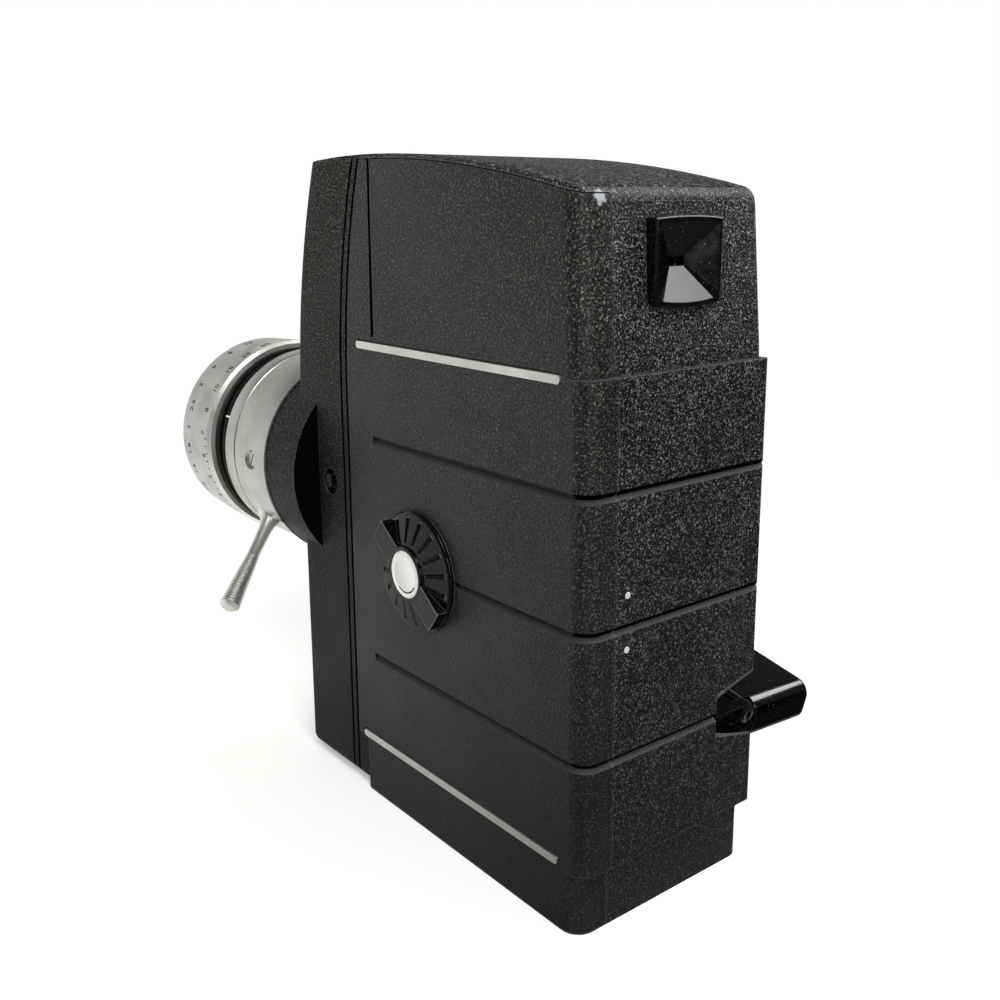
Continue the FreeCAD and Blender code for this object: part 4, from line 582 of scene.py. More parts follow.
class StageSettings(PropertyGroup):
    """Floor, lamps and camera."""

    floor_size: FloatProperty(name="Floor size", description="Side of the floor", default=8.0, unit="LENGTH")
    overhead_power: FloatProperty(name="Overhead lamp", description="Watts of the overhead soft box",
                                  default=5.0)
    side_power: FloatProperty(name="Side lamp", description="Watts of the soft box above the key side",
                              default=6.0)
    rear_power: FloatProperty(name="Rear lamp", description="Watts of the soft box behind the object",
                              default=3.4)
    camera_lens: FloatProperty(name="Camera lens", description="Focal length in mm for a 36 mm sensor",
                               default=39.83)
    camera_place: FloatVectorProperty(name="Camera place", description="Where the photograph was taken from",
                                      default=(0.17899, 0.22305, 0.16279), subtype="XYZ")


class CAMERA_OT_stage(Operator):
    """Makes the floor, the lamps, the world and the camera."""

    bl_idname = "movie_camera.stage"
    bl_label = "Stage"

    def execute(self, context):
        settings = context.scene.movie_camera_stage
        make_floor(settings)
        aim = Vector((0.0, 0.0, 0.08))
        soft_box("overhead_soft_box", (0.3, 0.45, 0.85), aim, 0.45, settings.overhead_power)
        soft_box("key_side_soft_box", (-0.62, 0.3, 0.72), aim, 0.6, settings.side_power)
        soft_box("rear_soft_box", (0.3, 0.85, 0.36), aim, 0.4, settings.rear_power)
        make_world(context)
        make_camera(context, settings)
        return {"FINISHED"}


def make_floor(settings):
    """A pale floor: it keeps the object's shadow near it and runs into the white sweep further out."""
    deselect()
    bpy.ops.mesh.primitive_plane_add(size=settings.floor_size, location=(0, 0, 0))
    floor = settle("studio_floor")
    material, tree, place = new_material("pale_studio_floor", "e8e8e5", 0.0, 0.8)
    shader = tree.nodes["Principled BSDF"]
    path = add_node(tree, "LightPath")
    seen = add_node(tree, "Math", [("operation", "MAXIMUM")],
                    [(0, path.outputs["Is Camera Ray"]), (1, path.outputs["Is Transmission Ray"])]).outputs[0]
    looked_at = add_node(tree, "Math", [("operation", "MAXIMUM")],
                         [(0, seen), (1, path.outputs["Is Glossy Ray"])]).outputs[0]
    reach = add_node(tree, "VectorMath", [("operation", "LENGTH")], [(0, place)]).outputs["Value"]
    far = add_node(tree, "MapRange", [("interpolation_type", "SMOOTHSTEP"), ("From Min", 0.16),
                                      ("From Max", 0.5)], [("Value", reach)]).outputs["Result"]
    share = add_node(tree, "Math", [("operation", "MULTIPLY")], [(0, far), (1, looked_at)]).outputs[0]
    glow = add_node(tree, "Emission", [("Color", linear("ffffff"))]).outputs[0]
    lifted = add_node(tree, "Math", [("operation", "MULTIPLY"), (1, 0.3)], [(0, looked_at)]).outputs[0]
    lift = add_node(tree, "Emission", [("Color", linear("ffffff"))], [("Strength", lifted)]).outputs[0]
    near = add_node(tree, "AddShader", links=[(0, shader.outputs[0]), (1, lift)]).outputs[0]
    sweep = add_node(tree, "MixShader", links=[(0, share), (1, near), (2, glow)]).outputs[0]
    behind = add_node(tree, "SeparateXYZ", links=[("Vector", place)]).outputs["Y"]
    room = add_node(tree, "MapRange", [("From Min", -0.12), ("From Max", 0.08), ("To Max", 0.94)],
                    [("Value", behind)]).outputs["Result"]
    unlit = add_node(tree, "Math", [("operation", "MULTIPLY")],
                     [(0, room), (1, path.outputs["Is Glossy Ray"])]).outputs[0]
    dark = add_node(tree, "Emission", [("Strength", 0.02)]).outputs[0]
    whole = add_node(tree, "MixShader", links=[(0, unlit), (1, sweep), (2, dark)]).outputs[0]
    tree.links.new(whole, tree.nodes["Material Output"].inputs["Surface"])
    floor.data.materials.append(material)


def soft_box(name, place, aim, size, power):
    """A square soft box that faces a point."""
    deselect()
    turn = (Vector(place) - aim).to_track_quat("Z", "Y").to_euler()
    bpy.ops.object.light_add(type="AREA", location=place, rotation=turn)
    lamp = bpy.context.object
    lamp.name = name
    lamp.data.shape = "SQUARE"
    lamp.data.size = size
    lamp.data.energy = power


def make_world(context):
    """White all round for the camera; mirrors see a white sweep in front and a dark room above and behind."""
    world = bpy.data.worlds.new("studio_surround")
    context.scene.world = world
    world.use_nodes = True
    tree = world.node_tree
    ground = tree.nodes["Background"]
    ground.inputs["Color"].default_value = linear("ffffff")
    path = add_node(tree, "LightPath")
    direction = add_node(tree, "TexCoord").outputs["Generated"]
    apart = add_node(tree, "SeparateXYZ", links=[("Vector", direction)])
    sweep = add_node(tree, "MapRange", [("interpolation_type", "SMOOTHSTEP"), ("From Min", 0.2),
                                        ("From Max", 0.8), ("To Min", 0.9), ("To Max", 0.12)],
                     [("Value", apart.outputs["Z"])]).outputs["Result"]
    room = add_node(tree, "MapRange", [("From Min", -0.3), ("From Max", 0.1), ("To Min", 1.0),
                                       ("To Max", 0.06)], [("Value", apart.outputs["Y"])]).outputs["Result"]
    mirrored = add_node(tree, "Math", [("operation", "MULTIPLY")], [(0, sweep), (1, room)]).outputs[0]
    lit = add_node(tree, "Mix", [(2, 0.5)], [(0, path.outputs["Is Glossy Ray"]), (3, mirrored)]).outputs[0]
    seen = add_node(tree, "Math", [("operation", "MAXIMUM")],
                    [(0, path.outputs["Is Camera Ray"]), (1, path.outputs["Is Transmission Ray"])]).outputs[0]
    level = add_node(tree, "Mix", [(3, 1.0)], [(0, seen), (2, lit)]).outputs[0]
    tree.links.new(level, ground.inputs["Strength"])


def make_camera(context, settings):
    """The camera at the photograph's viewing place."""
    bpy.ops.object.camera_add()
    camera = context.object
    camera.name = "photo_camera"
    # The camera's own right and up, and the shift of its picture, as fitted to edges in the photograph
    right = Vector((-0.7792, 0.6265, -0.0041))
    up = Vector((-0.1365, -0.1631, 0.9786))
    turn = Matrix((right, up, right.cross(up).normalized())).transposed().to_4x4()
    camera.matrix_world = Matrix.Translation(settings.camera_place) @ turn
    camera.data.sensor_width = 36.0
    camera.data.lens = settings.camera_lens
    camera.data.shift_x = -0.0069
    camera.data.shift_y = -0.0549
    context.scene.camera = camera
    context.scene.view_settings.view_transform = "Standard"


# The body's castings


# The joint line between nose casting and door, in mm: upright up to the bend, then an arc towards the rear
SEAM_Y, SEAM_BEND_Z, SEAM_RADIUS = -32.3, 115.0, 197.0


def seam_groove(setback):
    """A V-shaped cutter down the door side, a little in front of the joint between nose casting and door."""
    places = []
    for z in (-2, 60, 115, 125, 135, 145, 155, 165, 180):
        rise = max(z - SEAM_BEND_Z, 0)
        bow = SEAM_RADIUS - math.sqrt(SEAM_RADIUS ** 2 - rise ** 2)
        places.append(Vector((SIDE_X, (SEAM_Y - setback + bow) * MM, z * MM)))
    return v_cutter(places)


def v_cutter(places):
    """A V-shaped cutter along places on the door side."""
    deselect()
    bpy.ops.mesh.primitive_circle_add(vertices=3, radius=0.9 * MM, fill_type="NGON", location=places[0],
                                      rotation=(0, 0, math.radians(90)))
    cutter = settle("seam_groove")
    bpy.ops.object.mode_set(mode="EDIT")
    bpy.ops.mesh.select_all(action="SELECT")
    for here, there in zip(places, places[1:]):
        bpy.ops.mesh.extrude_region_move(TRANSFORM_OT_translate={"value": there - here})
    close_up()
    return cutter


def rear_brow_waste():
    """The waste outside the well rounded edge between the roof and the back, across the whole body."""
    reach, y, z, low, high = 3.6, 54.95, 163.3, 2.9, 77.5
    outline = [(reach, low + (high - low) * i / 12) for i in range(13)] + [(9, high), (15, 40.0), (9, low)]
    corners = []
    for far, degrees in outline:
        angle = math.radians(degrees)
        corners.append(Vector((-40 * MM, (y + far * math.cos(angle)) * MM, (z + far * math.sin(angle)) * MM)))
    waste = prism("rear_brow_waste", corners, (80 * MM, 0, 0))
    close_up()
    return waste


def storey_corner_waste():
    """The waste outside the upper storey's rear key-side corner, which leans in and gets rounder upwards."""
    reach, widening = 2.4, 1.667
    low, rise = Vector((-28.6, 60.4, 127.9)) * MM, Vector((1.18, -2.28, 45.0)) * MM
    corners = []
    for i in range(9):
        angle = math.radians(90 + 90 * i / 8)
        corners.append(low + Vector((1 + math.cos(angle), math.sin(angle) - 1, 0)) * reach * MM)
    corners += [low + Vector(place) * MM for place in ((-4, -reach, 0), (-4, 4, 0), (reach, 4, 0))]
    waste = prism("storey_corner_waste", corners, rise)
    mesh = bmesh.from_edit_mesh(waste.data)
    for vertex in mesh.verts:
        if vertex.select:
            vertex.co = low + rise + (vertex.co - low - rise) * widening
    close_up()
    return waste


def storey_knuckle_waste():
    """The waste outside the ball-shaped corner where roof, back and key side of the upper storey meet."""
    reach, x, y, z = 3.9, -23.78, 54.7, 163.09
    waste = block("storey_knuckle_waste", (x - 6.05, y + 6.05, z + 6.05), (12.0, 12.0, 12.0))
    deselect()
    bpy.ops.mesh.primitive_uv_sphere_add(segments=72, ring_count=36, radius=reach * MM,
                                         location=(x * MM, y * MM, z * MM))
    return cut_away(waste, settle("storey_knuckle"))


def key_side_draft():
    """The waste outside the key side's upper part, which leans in by 1.5 degrees."""
    draft = block("key_side_draft", (-10.0, 0.0, 25.0), (20.0, 140.0, 80.0))
    draft.data.transform(Matrix.Translation(Vector((-28.6, 0.0, 131.0)) * MM)
                         @ Matrix.Rotation(math.radians(1.5), 4, "Y"))
    return draft


def casting_cutters(node):
    """The cutters for what is finer than the solid of a casting."""
    if node == "film_door":
        ends = [Vector((SIDE_X, y * MM, z * MM)) for y, z in ((-18.9, 129.8), (-18.35, 176.0))]
        return [seam_groove(0.0), v_cutter(ends), rear_brow_waste()]
    if node == "main_housing":
        return [rear_brow_waste(), key_side_draft(), storey_corner_waste(), storey_knuckle_waste()]
    return [seam_groove(0.0), seam_groove(2.8), key_side_draft()]


# Heights of the three grooves round the body, and half the height that one takes up
GROOVES_Z, GROOVE_HALF = (0.1028, 0.0723, 0.0417), 1.3 * MM


def paint_casting(piece, node, finish):
    """Paints a casting, with painted highlight where its enamel faces up in the grooves and on the ledge, and
    painted shade where it lies in the dark.
    """
    paint(piece, finish, "inner_paint", "painted_shade_black", "gloss_plastic", "matt_grey_and_highlight", "roof_enamel")

    def in_groove(c):
        """Whether a place lies in one of the grooves."""
        return min(abs(c.z - z) for z in GROOVES_Z) < GROOVE_HALF

    paint_faces(piece, "roof_enamel", lambda c, n: n.z > 0.88 and c.z > 0.15)
    if node != "front_housing":
        # In the grooves the lower flanks look up and are painted lighter as highlight; the upper flanks look
        # down and are painted black as shade
        paint_faces(piece, "matt_grey_and_highlight", lambda c, n: n.z > 0.3 and (n.x > 0.3 or n.y > 0.3)
                    and in_groove(c))
        paint_faces(piece, "painted_shade_black", lambda c, n: -0.95 < n.z < -0.3 and n.y > 0.1 and in_groove(c))
    # The ledge under the upper storey, painted lighter as the highlight where it catches the light from above
    paint_faces(piece, "matt_grey_and_highlight", lambda c, n: n.z > 0.8 and 0.126 < c.z < 0.1295
                and (c.y > 0.05 or c.x > 0.02))
    # The flanks of the V-shaped lines, painted black as shade
    paint_faces(piece, "painted_shade_black", lambda c, n: 0.3 < n.x < 0.7 and c.x > SIDE_X - 1.2 * MM
                and -0.037 < c.y < -0.016)
    if node == "film_door":
        paint_faces(piece, "inner_paint", lambda c, n: n.x < -0.5 and c.x < SIDE_X - 0.8 * MM)
    if node == "main_housing":
        # The key's dish and the notch where it breaks out through the back, painted black as shade
        paint_faces(piece, "painted_shade_black", lambda c, n: c.x < -0.0125 and 0.019 < c.y < 0.0615
                    and 0.02 < c.z < 0.064 and n.x > -0.9 and n.y < 0.8)
    if node == "front_housing":
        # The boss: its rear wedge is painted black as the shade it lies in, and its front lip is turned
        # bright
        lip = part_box("zoom_ring")[1].y + 1.6 * MM
        paint_faces(piece, "painted_shade_black", lambda c, n: n.y > 0.7 and c.x > SIDE_X and c.y < -0.04)
        paint_faces(piece, "gloss_plastic", lambda c, n: c.y < lip)


class CAMERA_OT_castings(Operator):
    """Finishes the three castings of the body in wrinkle enamel."""

    bl_idname = "movie_camera.castings"
    bl_label = "Body castings"

    def execute(self, context):
        for node, body, finish in (("film_door", "door", "door_enamel"),
                                   ("main_housing", "housing", "body_enamel"),
                                   ("front_housing", "housing", "nose_enamel")):
            piece = finished_copy(node, casting_cutters(node))
            paint_casting(piece, node, finish)
            hand_over(piece, body, "crinkle_enamel", node)
        return {"FINISHED"}


# Door lock


class KnobSettings(PropertyGroup):
    """Marks of the door lock knob."""

    arc_radius_mm: FloatProperty(name="Arc radius", description="Radius in mm of the black arc on the disc",
                                 default=4.7)
    arc_degrees: FloatProperty(name="Arc length", description="Half the length of the black arc in degrees",
                               default=48.0)


class CAMERA_OT_knob(Operator):
    """Finishes the lock knob and makes its white disc with a plain black arc."""

    bl_idname = "movie_camera.knob"
    bl_label = "Lock knob"

    def execute(self, context):
        settings = context.scene.movie_camera_knob
        knob = finished_copy("lock_knob")
        paint(knob, "knob_plastic", "matt_grey_and_highlight")
        # The tops of the bar and the hub, and the lands below and in front of the bar, get the grey matt
        # paint
        top = SIDE_X + 4.25 * MM
        paint_faces(knob, "matt_grey_and_highlight", lambda c, n: n.x > 0.9 and c.x > top
                    or n.x > 0.5 and 0.73 * (c.y - KNOB.y) + 0.68 * (c.z - KNOB.z) < -4 * MM)
        hand_over(knob, "lock", "gloss_plastic", "lock_knob")
        make_disc(settings)
        return {"FINISHED"}


def make_disc(settings):
    """The white disc in the hub, with a plain black arc along its lower edge."""
    x0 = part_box("knob_disc")[0].x / MM
    face = x0 + 0.35
    r = settings.arc_radius_mm
    sunk = face - 0.01
    profile = [(x0, 0), (x0, 6.15), (x0 + 0.25, 6.15), (face, 6.0), (face, r + 0.22), (sunk, r + 0.2),
               (sunk, r - 0.2), (face, r - 0.22), (face, 0)]
    disc = turned("knob_disc_white", profile, 180, "X", KNOB)
    paint(disc, "white_enamel", "ink")
    limit = math.cos(math.radians(settings.arc_degrees))
    low = Matrix.Rotation(math.radians(12), 3, "X") @ Vector((0, 0, -1))

    def on_arc(c, n):
        """Whether a face lies in the arc."""
        off = Vector((0, c.y - KNOB.y, c.z - KNOB.z))
        return n.x > 0.9 and abs(off.length / MM - r) < 0.12 and off.normalized().dot(low) > limit

    paint_faces(disc, "ink", on_arc)
    soften(disc, 0)
    hand_over(disc, "lock", "white_plastic", "knob_disc")


# Lens


class LensSettings(PropertyGroup):
    """Rings, marks and lever of the lens."""

    spin_steps: IntProperty(name="Steps", description="Facets round a turned ring", default=192)
    lever_grooves: IntProperty(name="Lever grooves", description="Grip rings on the zoom lever", default=22)
    figure_mm: FloatProperty(name="Figure height", description="Height in mm of the distance figures",
                             default=2.3)


class CAMERA_OT_lens(Operator):
    """Turns the rings and the lever of the zoom lens and marks them."""

    bl_idname = "movie_camera.lens"
    bl_label = "Lens rings"

    def execute(self, context):
        settings = context.scene.movie_camera_lens
        make_zoom_ring(settings)
        make_lever(settings)
        make_collar(settings)
        make_index_ring(settings)
        make_focus_ring(settings)
        make_distance_scale(settings)
        return {"FINISHED"}


# Bores of the rings in mm: the zoom ring runs on the lens tube, and the two fixed rings sit on it
RUNNING_BORE, FIXED_BORE = 27.05, 27.02


def make_zoom_ring(settings):
    """The silver ring with its sunk set screw."""
    rear, front, r = ring_box("zoom_ring")
    profile = [(rear, RUNNING_BORE), (rear, r - 0.35), (rear - 0.35, r), (front + 0.3, r), (front, r - 0.3),
               (front, RUNNING_BORE)]
    ring = turned("zoom_ring_turned", profile, settings.spin_steps)
    screw_y, angle = -77.8, math.radians(1.5)
    out = Vector((math.cos(angle), 0, math.sin(angle)))
    middle = Vector((LENS_X, screw_y * MM, LENS_Z))
    cut_away(ring, rod("hole", middle + out * 25 * MM, middle + out * 33 * MM, 2.3, 40))
    sink = rod("sink", middle + out * 28.6 * MM, middle + out * 31 * MM, 2.0, 40)
    only(sink)
    for vertex in sink.data.vertices:
        off = vertex.co - middle
        if off.dot(out) > 30 * MM:
            vertex.co += (off - off.dot(out) * out) * 0.9
    cut_away(ring, sink)
    soften(ring, 0.1, 2, 30)
    paint(ring, "satin_aluminium", "black_anodised")
    # The silver front chamfer is painted black as the shade in the gap to the collar
    paint_faces(ring, "black_anodised", lambda c, n: c.y / MM < front + 0.28)
    hand_over(ring, "zoom", "satin_aluminium", "zoom_ring")
    screw = rod("zoom_screw_slotted", middle + out * 27.2 * MM, middle + out * 29.5 * MM, 2.2, 40)
    slot = block("slot", (0, 0, 0), (1.0, 5.0, 0.5))
    slot.data.transform(Matrix.Translation(middle + out * 29.6 * MM) @ Matrix.Rotation(-angle, 4, "Y")
                        @ Matrix.Rotation(math.radians(60), 4, "X"))
    cut_away(screw, slot)
    cut_away(screw, rod("tip", middle + out * 22 * MM, middle + out * 27.4 * MM, 1.4, 32), "UNION")
    soften(screw, 0.25, 3, 30)
    paint(screw, "satin_aluminium")
    hand_over(screw, "zoom", "steel", "zoom_setscrew")


def make_lever(settings):
    """The zoom lever: a flared root, a thin shank and a tapering grip with fine grooves."""
    tip_radius, root_y, lean, turn = 61.5, -80.2, 0.55, 39.9
    rise = tip_radius - ring_box("zoom_ring")[2]
    length = math.hypot(rise, lean * rise)
    start = length * 0.42
    end = length * 0.94 - 1.0
    step = (end - start) / settings.lever_grooves
    profile = [(-1.4, 0), (-1.4, 4.6), (-0.5, 4.15), (0.3, 3.4), (1.3, 2.75), (2.8, 2.3), (5.0, 2.05),
               (start - 0.2, 1.85)]
    for i in range(settings.lever_grooves):
        r = 1.95 + 1.0 * i / settings.lever_grooves
        x = start + i * step
        profile += [(x + 0.1 * step, r), (x + 0.6 * step, r + 0.03), (x + 0.7 * step, r - 0.13),
                    (x + 0.95 * step, r - 0.13)]
    profile += [(end, 3.0), (end + 0.5, 3.0), (end + 1.3, 2.2), (end + 1.6, 1.7), (end + 1.6, 0)]
    lever = turned("zoom_lever_turned", profile, 64, "X", (0, 0, 0))
    lever.data.transform(Matrix.Translation((LENS_X, 0, LENS_Z)) @ Matrix.Rotation(math.radians(turn), 4, "Y")
                         @ Matrix.Translation((ring_box("zoom_ring")[2] * MM, root_y * MM, 0))
                         @ Matrix.Rotation(math.atan(lean), 4, "Z"))
    soften(lever, 0, 1, 40)
    paint(lever, "lever_aluminium")
    hand_over(lever, "zoom", "nickel", "zoom_lever")


def make_collar(settings):
    """The narrow fixed silver collar."""
    rear, front, r = ring_box("silver_collar")
    profile = [(rear, FIXED_BORE), (rear, r - 0.35), (rear - 0.3, r), (front + 0.25, r), (front, r - 0.3),
               (front, FIXED_BORE)]
    ring = turned("silver_collar_turned", profile, settings.spin_steps)
    soften(ring, 0.08, 2, 30)
    paint(ring, "satin_aluminium")
    hand_over(ring, "housing", "satin_aluminium", "silver_collar")


# Where the index mark and the middle of the distance scale stand, in degrees above the door side
INDEX_ANGLE = 21.3


def make_index_ring(settings):
    """The black ring with two grooves, and the white index mark on its brown rear land."""
    rear, front, r = ring_box("index_ring")
    profile = [(rear, FIXED_BORE), (rear, r - 0.3), (rear - 0.2, r - 0.1), (rear - 3.3, r - 0.1),
               (rear - 3.5, r - 0.8), (rear - 4.3, r - 0.8), (rear - 4.6, r - 0.25), (rear - 5.0, r),
               (front + 0.25, r), (front, r - 0.25), (front, FIXED_BORE)]
    ring = turned("index_ring_turned", profile, settings.spin_steps)
    soften(ring, 0.05, 1, 30)
    paint(ring, "black_anodised", "brown_anodised")
    paint_faces(ring, "brown_anodised", lambda c, n: c.y / MM > rear - 3.35 and off_lens(c) > r - 0.2)
    hand_over(ring, "housing", "black_metal", "index_ring")
    mark = block("index_line", (0, 0, 0), (0.55, 3.2, 0.08))
    on_ring(mark, INDEX_ANGLE, rear - 1.75, r - 0.1, 0.0)
    paint(mark, "white_ink")
    hand_over(mark, "housing", "black_metal")


# Outer radius at the front of the focus ring, which tapers a little
FOCUS_FRONT_MM = 30.7


def make_focus_ring(settings):
    """The front ring with its bright rear chamfer and its filter thread."""
    rear, front, r = ring_box("focus_ring")
    profile = [(rear, 27.6), (rear, r - 1.0), (rear - 1.0, r), (front + 0.5, FOCUS_FRONT_MM), (front, 30.2),
               (front, 29.1)]
    for i in range(6):
        y = front + 0.3 + i * 0.5
        profile += [(y, 28.6), (y + 0.25, 29.0)]
    profile += [(front + 3.5, 28.6), (front + 3.5, 25.3), (rear - 3.0, 25.3), (rear - 3.0, 27.6)]
    ring = turned("focus_ring_turned", profile, settings.spin_steps)
    soften(ring, 0, 1, 22)
    paint(ring, "satin_aluminium", "bright_aluminium", "black_anodised")
    paint_faces(ring, "bright_aluminium", lambda c, n: c.y / MM > rear - 1.0)
    paint_faces(ring, "black_anodised", lambda c, n: off_lens(c) < 29.15)
    hand_over(ring, "focus", "satin_aluminium", "focus_ring")


def on_ring(piece, degrees, y_mm, r_mm, taper):
    """Wraps a flat piece round the lens: X runs round the ring, Y towards the front, Z outwards."""
    for vertex in piece.data.vertices:
        forward = vertex.co.y / MM
        radius = r_mm - taper * forward + vertex.co.z / MM + 0.015
        angle = math.radians(degrees) + vertex.co.x / (r_mm * MM)
        vertex.co = (LENS_X + radius * math.cos(angle) * MM, (y_mm - forward) * MM,
                     LENS_Z + radius * math.sin(angle) * MM)
    piece.matrix_world = Matrix.Identity(4)
    return piece


def make_distance_scale(settings):
    """Plain distance figures in two rows with a tick at each, in black paint on the focus ring."""
    rear, front, r = ring_box("focus_ring")
    taper = (r - FOCUS_FRONT_MM) / (rear - front - 1.5)
    step = 13.5
    marks = []
    for y, row in ((rear - 4.6, ("50", "25", "15", "10", "8", "7", "6", "5", "4")),
                   (rear - 17.2, ("15", "8", "5", "3", "2.5", "2", "1.8", "1.5", "1.2"))):
        for i, text in enumerate(row):
            marks.append(on_ring(figures(text, settings.figure_mm), INDEX_ANGLE + (4 - i) * step, y,
                                 r - taper * (rear - y - 1.0), taper))
    for i in range(12):
        size = (0.35, 1.8 if i % 3 == 0 else 1.2, 0.06)
        tick = block("tick", (0, 0, 0), size)
        marks.append(on_ring(tick, 5.0 - i * 4.5, rear - 2.2, r - taper * 1.2, taper))
    scale = joined(marks, "distance_scale")
    paint(scale, "ink")
    hand_over(scale, "focus", "satin_aluminium")


# Small parts


class CAMERA_OT_small_parts(Operator):
    """Makes the screws, rivets, tripod thread and the figures of the film counter."""

    bl_idname = "movie_camera.small_parts"
    bl_label = "Small parts"

    def execute(self, context):
        make_side_screws()
        make_rivets()
        make_key_pin()
        make_tripod_thread()
        make_counter_marks()
        return {"FINISHED"}


def make_side_screws():
    """A gloss black screw with a beaded rim and a dished, slotted middle in each side of the nose casting."""
    y, z = -42.9, centre("side_screws").z / MM
    screws = []
    for side in (1, -1):
        face = side * (SIDE_X / MM)
        tip = -5.0 if side > 0 else -2.8
        depth = [(tip, 0), (tip, 1.4), (-1.35, 1.4), (-1.3, 3.6), (-0.55, 3.6), (-0.4, 3.5), (-0.33, 3.25),
                 (-0.36, 3.0), (-0.5, 2.7), (-0.9, 2.2), (-1.0, 1.8), (-1.0, 0)]
        profile = [(face + side * a, r) for a, r in depth]
        screw = turned("side_screw", profile, 72, "X", (0, y * MM, z * MM))
        cut_away(screw, block("slot", (face - side * 1.0, y, z), (0.5, 3.4, 0.6)))
        screws.append(screw)
    screws = joined(screws, "side_screws_beaded")
    soften(screws, 0, 1, 35)
    paint(screws, "gloss_plastic")
    hand_over(screws, "housing", "steel", "side_screws")


def make_rivets():
    """Two domed rivets in the back."""
    x, heights = 16.3, (79.9, 67.3)
    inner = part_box("back_rivets")[0].y / MM
    face = BACK_Y / MM
    profile = [(inner, 0), (inner, 0.73), (face, 0.73), (face, 0.78), (face + 0.1, 0.74), (face + 0.19, 0.55),
               (face + 0.24, 0.25), (face + 0.25, 0)]
    heads = [turned("rivet", profile, 32, "Y", (x * MM, 0, z * MM)) for z in heights]
    rivets = joined(heads, "back_rivets_domed")
    soften(rivets, 0, 1, 40)
    paint(rivets, "rivet_metal")
    hand_over(rivets, "housing", "steel", "back_rivets")


def make_key_pin():
    """The hinge pin, blackened except for the bright rim of its riveted end."""
    low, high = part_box("key_pin")
    tilt = math.radians(-12)
    along = Vector((0, math.cos(tilt), math.sin(tilt)))
    middle = (low + high) / 2
    pin = finished_copy("key_pin")
    paint(pin, "pin_black", "nickel")

    def on_rim(c, n):
        """Whether a face lies on the riveted rim."""
        off = c - middle
        off -= off.dot(along) * along
        return 1.0 < off.length / MM < 1.75 and c.y > middle.y

    paint_faces(pin, "nickel", on_rim)
    hand_over(pin, "key", "steel", "key_pin")


def make_tripod_thread():
    """The tripod bush with its chamfered mouth and the grooves of its thread."""
    profile = [(0, 5.0), (0, 3.2), (0.35, 2.75)]
    for i in range(4):
        z = 0.55 + 1.27 * i
        profile += [(z, 2.55), (z + 0.25, 2.55), (z + 0.7, 3.05), (z + 0.85, 3.05)]
    profile += [(5.6, 2.55), (5.6, 0), (6.5, 0), (6.5, 5.0)]
    bush = turned("tripod_bush_threaded", profile, 96, "Z", (SOCKET.x, SOCKET.y, 0))
    soften(bush, 0, 1, 30)
    paint(bush, "nickel")
    hand_over(bush, "housing", "steel", "tripod_bush")


def make_counter_marks():
    """Plain figures and ticks on the film counter's dial, where they pass under the window."""
    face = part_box("counter_dial")[0].x
    marks = [on_dial(figures(str(10 * i), 1.3), 12.0 * i, 8.5, face) for i in range(4)]
    for i in range(10):
        tick = block("tick", (0, 0, 0), (0.16, 1.2 if i % 3 == 0 else 0.7, 0.06))
        marks.append(on_dial(tick, 4.0 * i, 10.1, face))
    marks = joined(marks, "counter_figures")
    paint(marks, "ink")
    hand_over(marks, "counter", "white_plastic")


def on_dial(piece, degrees, r_mm, face):
    """Lays a flat piece on the dial at a radius, at rest the given angle before the window's middle."""
    window = centre("counter_window") - DIAL
    start = math.atan2(window.z, window.y) - math.radians(degrees)
    place = Vector((0, math.cos(start), math.sin(start)))
    across = Vector((-1, 0, 0)).cross(place) * -1
    for vertex in piece.data.vertices:
        u, v, lift = vertex.co
        vertex.co = DIAL + across * u + place * (r_mm * MM + v)
        vertex.co.x = face - lift - 0.02 * MM
    piece.matrix_world = Matrix.Identity(4)
    return piece


# Other CAD nodes keep their shape and get a finish


NODE_FINISH = {
    "trim_strips": "strip_aluminium", "latch_pinion": "steel", "upper_bolt": "steel", "lower_bolt": "steel",
    "bolt_cover": "black_steel", "bolt_guides": "black_steel", "mainspring_barrel": "brass",
    "mainspring": "blued_steel", "second_wheel": "brass", "third_wheel": "brass", "shutter_shaft": "steel",
    "shutter_blade": "black_steel", "governor_weights": "brass", "shutter_brackets": "steel",
    "mechanism_plate": "black_steel", "plate_screws": "nickel", "bearing_bridge": "brass",
    "plate_pillars": "steel", "takeup_spindle": "nickel", "takeup_spool": "satin_aluminium",
    "feed_spindle": "nickel", "film_guides": "nickel", "film_gate": "black_steel", "claw": "steel",
    "pressure_plate": "black_steel", "plate_bracket": "steel", "counter_dial": "white_enamel",
    "counter_feeler": "steel", "counter_window": "glass",
    "lens_tube": "black_anodised", "zoom_cell": "black_anodised", "zoom_lens": "glass",
    "front_cell": "black_anodised", "front_lens": "glass", "rear_lens": "glass", "iris_plate": "black_steel",
    "eyepiece_frame": "eyepiece_gloss", "eyepiece_lens": "glass", "finder_tube": "black_steel",
    "finder_window": "glass", "key_hub": "key_face", "winding_arbor": "steel", "leaf_spring": "steel",
    "run_button": "gloss_plastic",
}


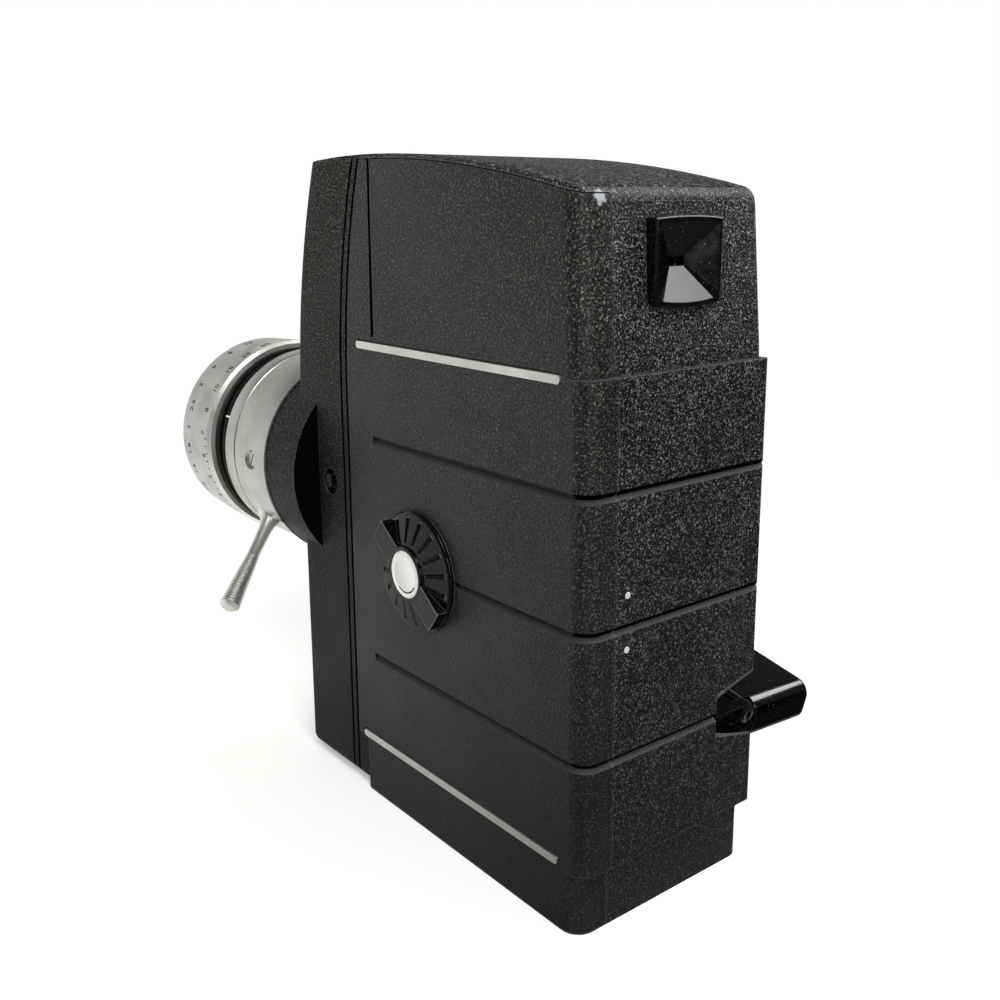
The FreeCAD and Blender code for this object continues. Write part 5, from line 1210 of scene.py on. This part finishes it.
class CAMERA_OT_node_finishes(Operator):
    """Gives every CAD node that stays its own finish, and the key's wing its two."""

    bl_idname = "movie_camera.node_finishes"
    bl_label = "Node finishes"

    def execute(self, context):
        for node, finish in NODE_FINISH.items():
            for material_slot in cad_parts[node].material_slots:
                material_slot.material = FINISH[finish]
        wing = finished_copy("key_wing")
        paint(wing, "key_gloss", "key_face")
        paint_faces(wing, "key_face", lambda c, n: n.z > 0.93 or n.y > 0.93)
        hand_over(wing, "wing", "gloss_plastic", "key_wing")
        return {"FINISHED"}


class CAMERA_PT_panel(Panel):
    """Lists the pieces and their settings."""

    bl_label = "Movie camera"
    bl_idname = "CAMERA_PT_movie_camera"
    bl_space_type = "VIEW_3D"
    bl_region_type = "UI"
    bl_category = "Movie camera"

    def draw(self, context):
        for name, settings in SETTINGS:
            box = self.layout.box()
            box.label(text=settings.__doc__)
            for key in settings.__annotations__:
                box.prop(getattr(context.scene, name), key)
        for operator in OPERATORS:
            self.layout.operator(operator.bl_idname)


SETTINGS = (("movie_camera_stage", StageSettings), ("movie_camera_knob", KnobSettings),
            ("movie_camera_lens", LensSettings))
OPERATORS = (CAMERA_OT_stage, CAMERA_OT_node_finishes, CAMERA_OT_castings, CAMERA_OT_knob, CAMERA_OT_lens,
             CAMERA_OT_small_parts)


def register():
    """Registers the settings, the operators and the panel."""
    for name, settings in SETTINGS:
        bpy.utils.register_class(settings)
        setattr(bpy.types.Scene, name, PointerProperty(type=settings))
    for operator in OPERATORS:
        bpy.utils.register_class(operator)
    bpy.utils.register_class(CAMERA_PT_panel)


def unregister():
    """Removes them again."""
    bpy.utils.unregister_class(CAMERA_PT_panel)
    for operator in OPERATORS:
        bpy.utils.unregister_class(operator)
    for name, settings in SETTINGS:
        delattr(bpy.types.Scene, name)
        bpy.utils.unregister_class(settings)


def main():
    """Makes the whole scene."""
    register()
    make_finishes()
    bpy.ops.movie_camera.stage()
    bpy.ops.movie_camera.node_finishes()
    bpy.ops.movie_camera.castings()
    bpy.ops.movie_camera.knob()
    bpy.ops.movie_camera.lens()
    bpy.ops.movie_camera.small_parts()
    deselect()


if __name__ == "__main__":
    main()
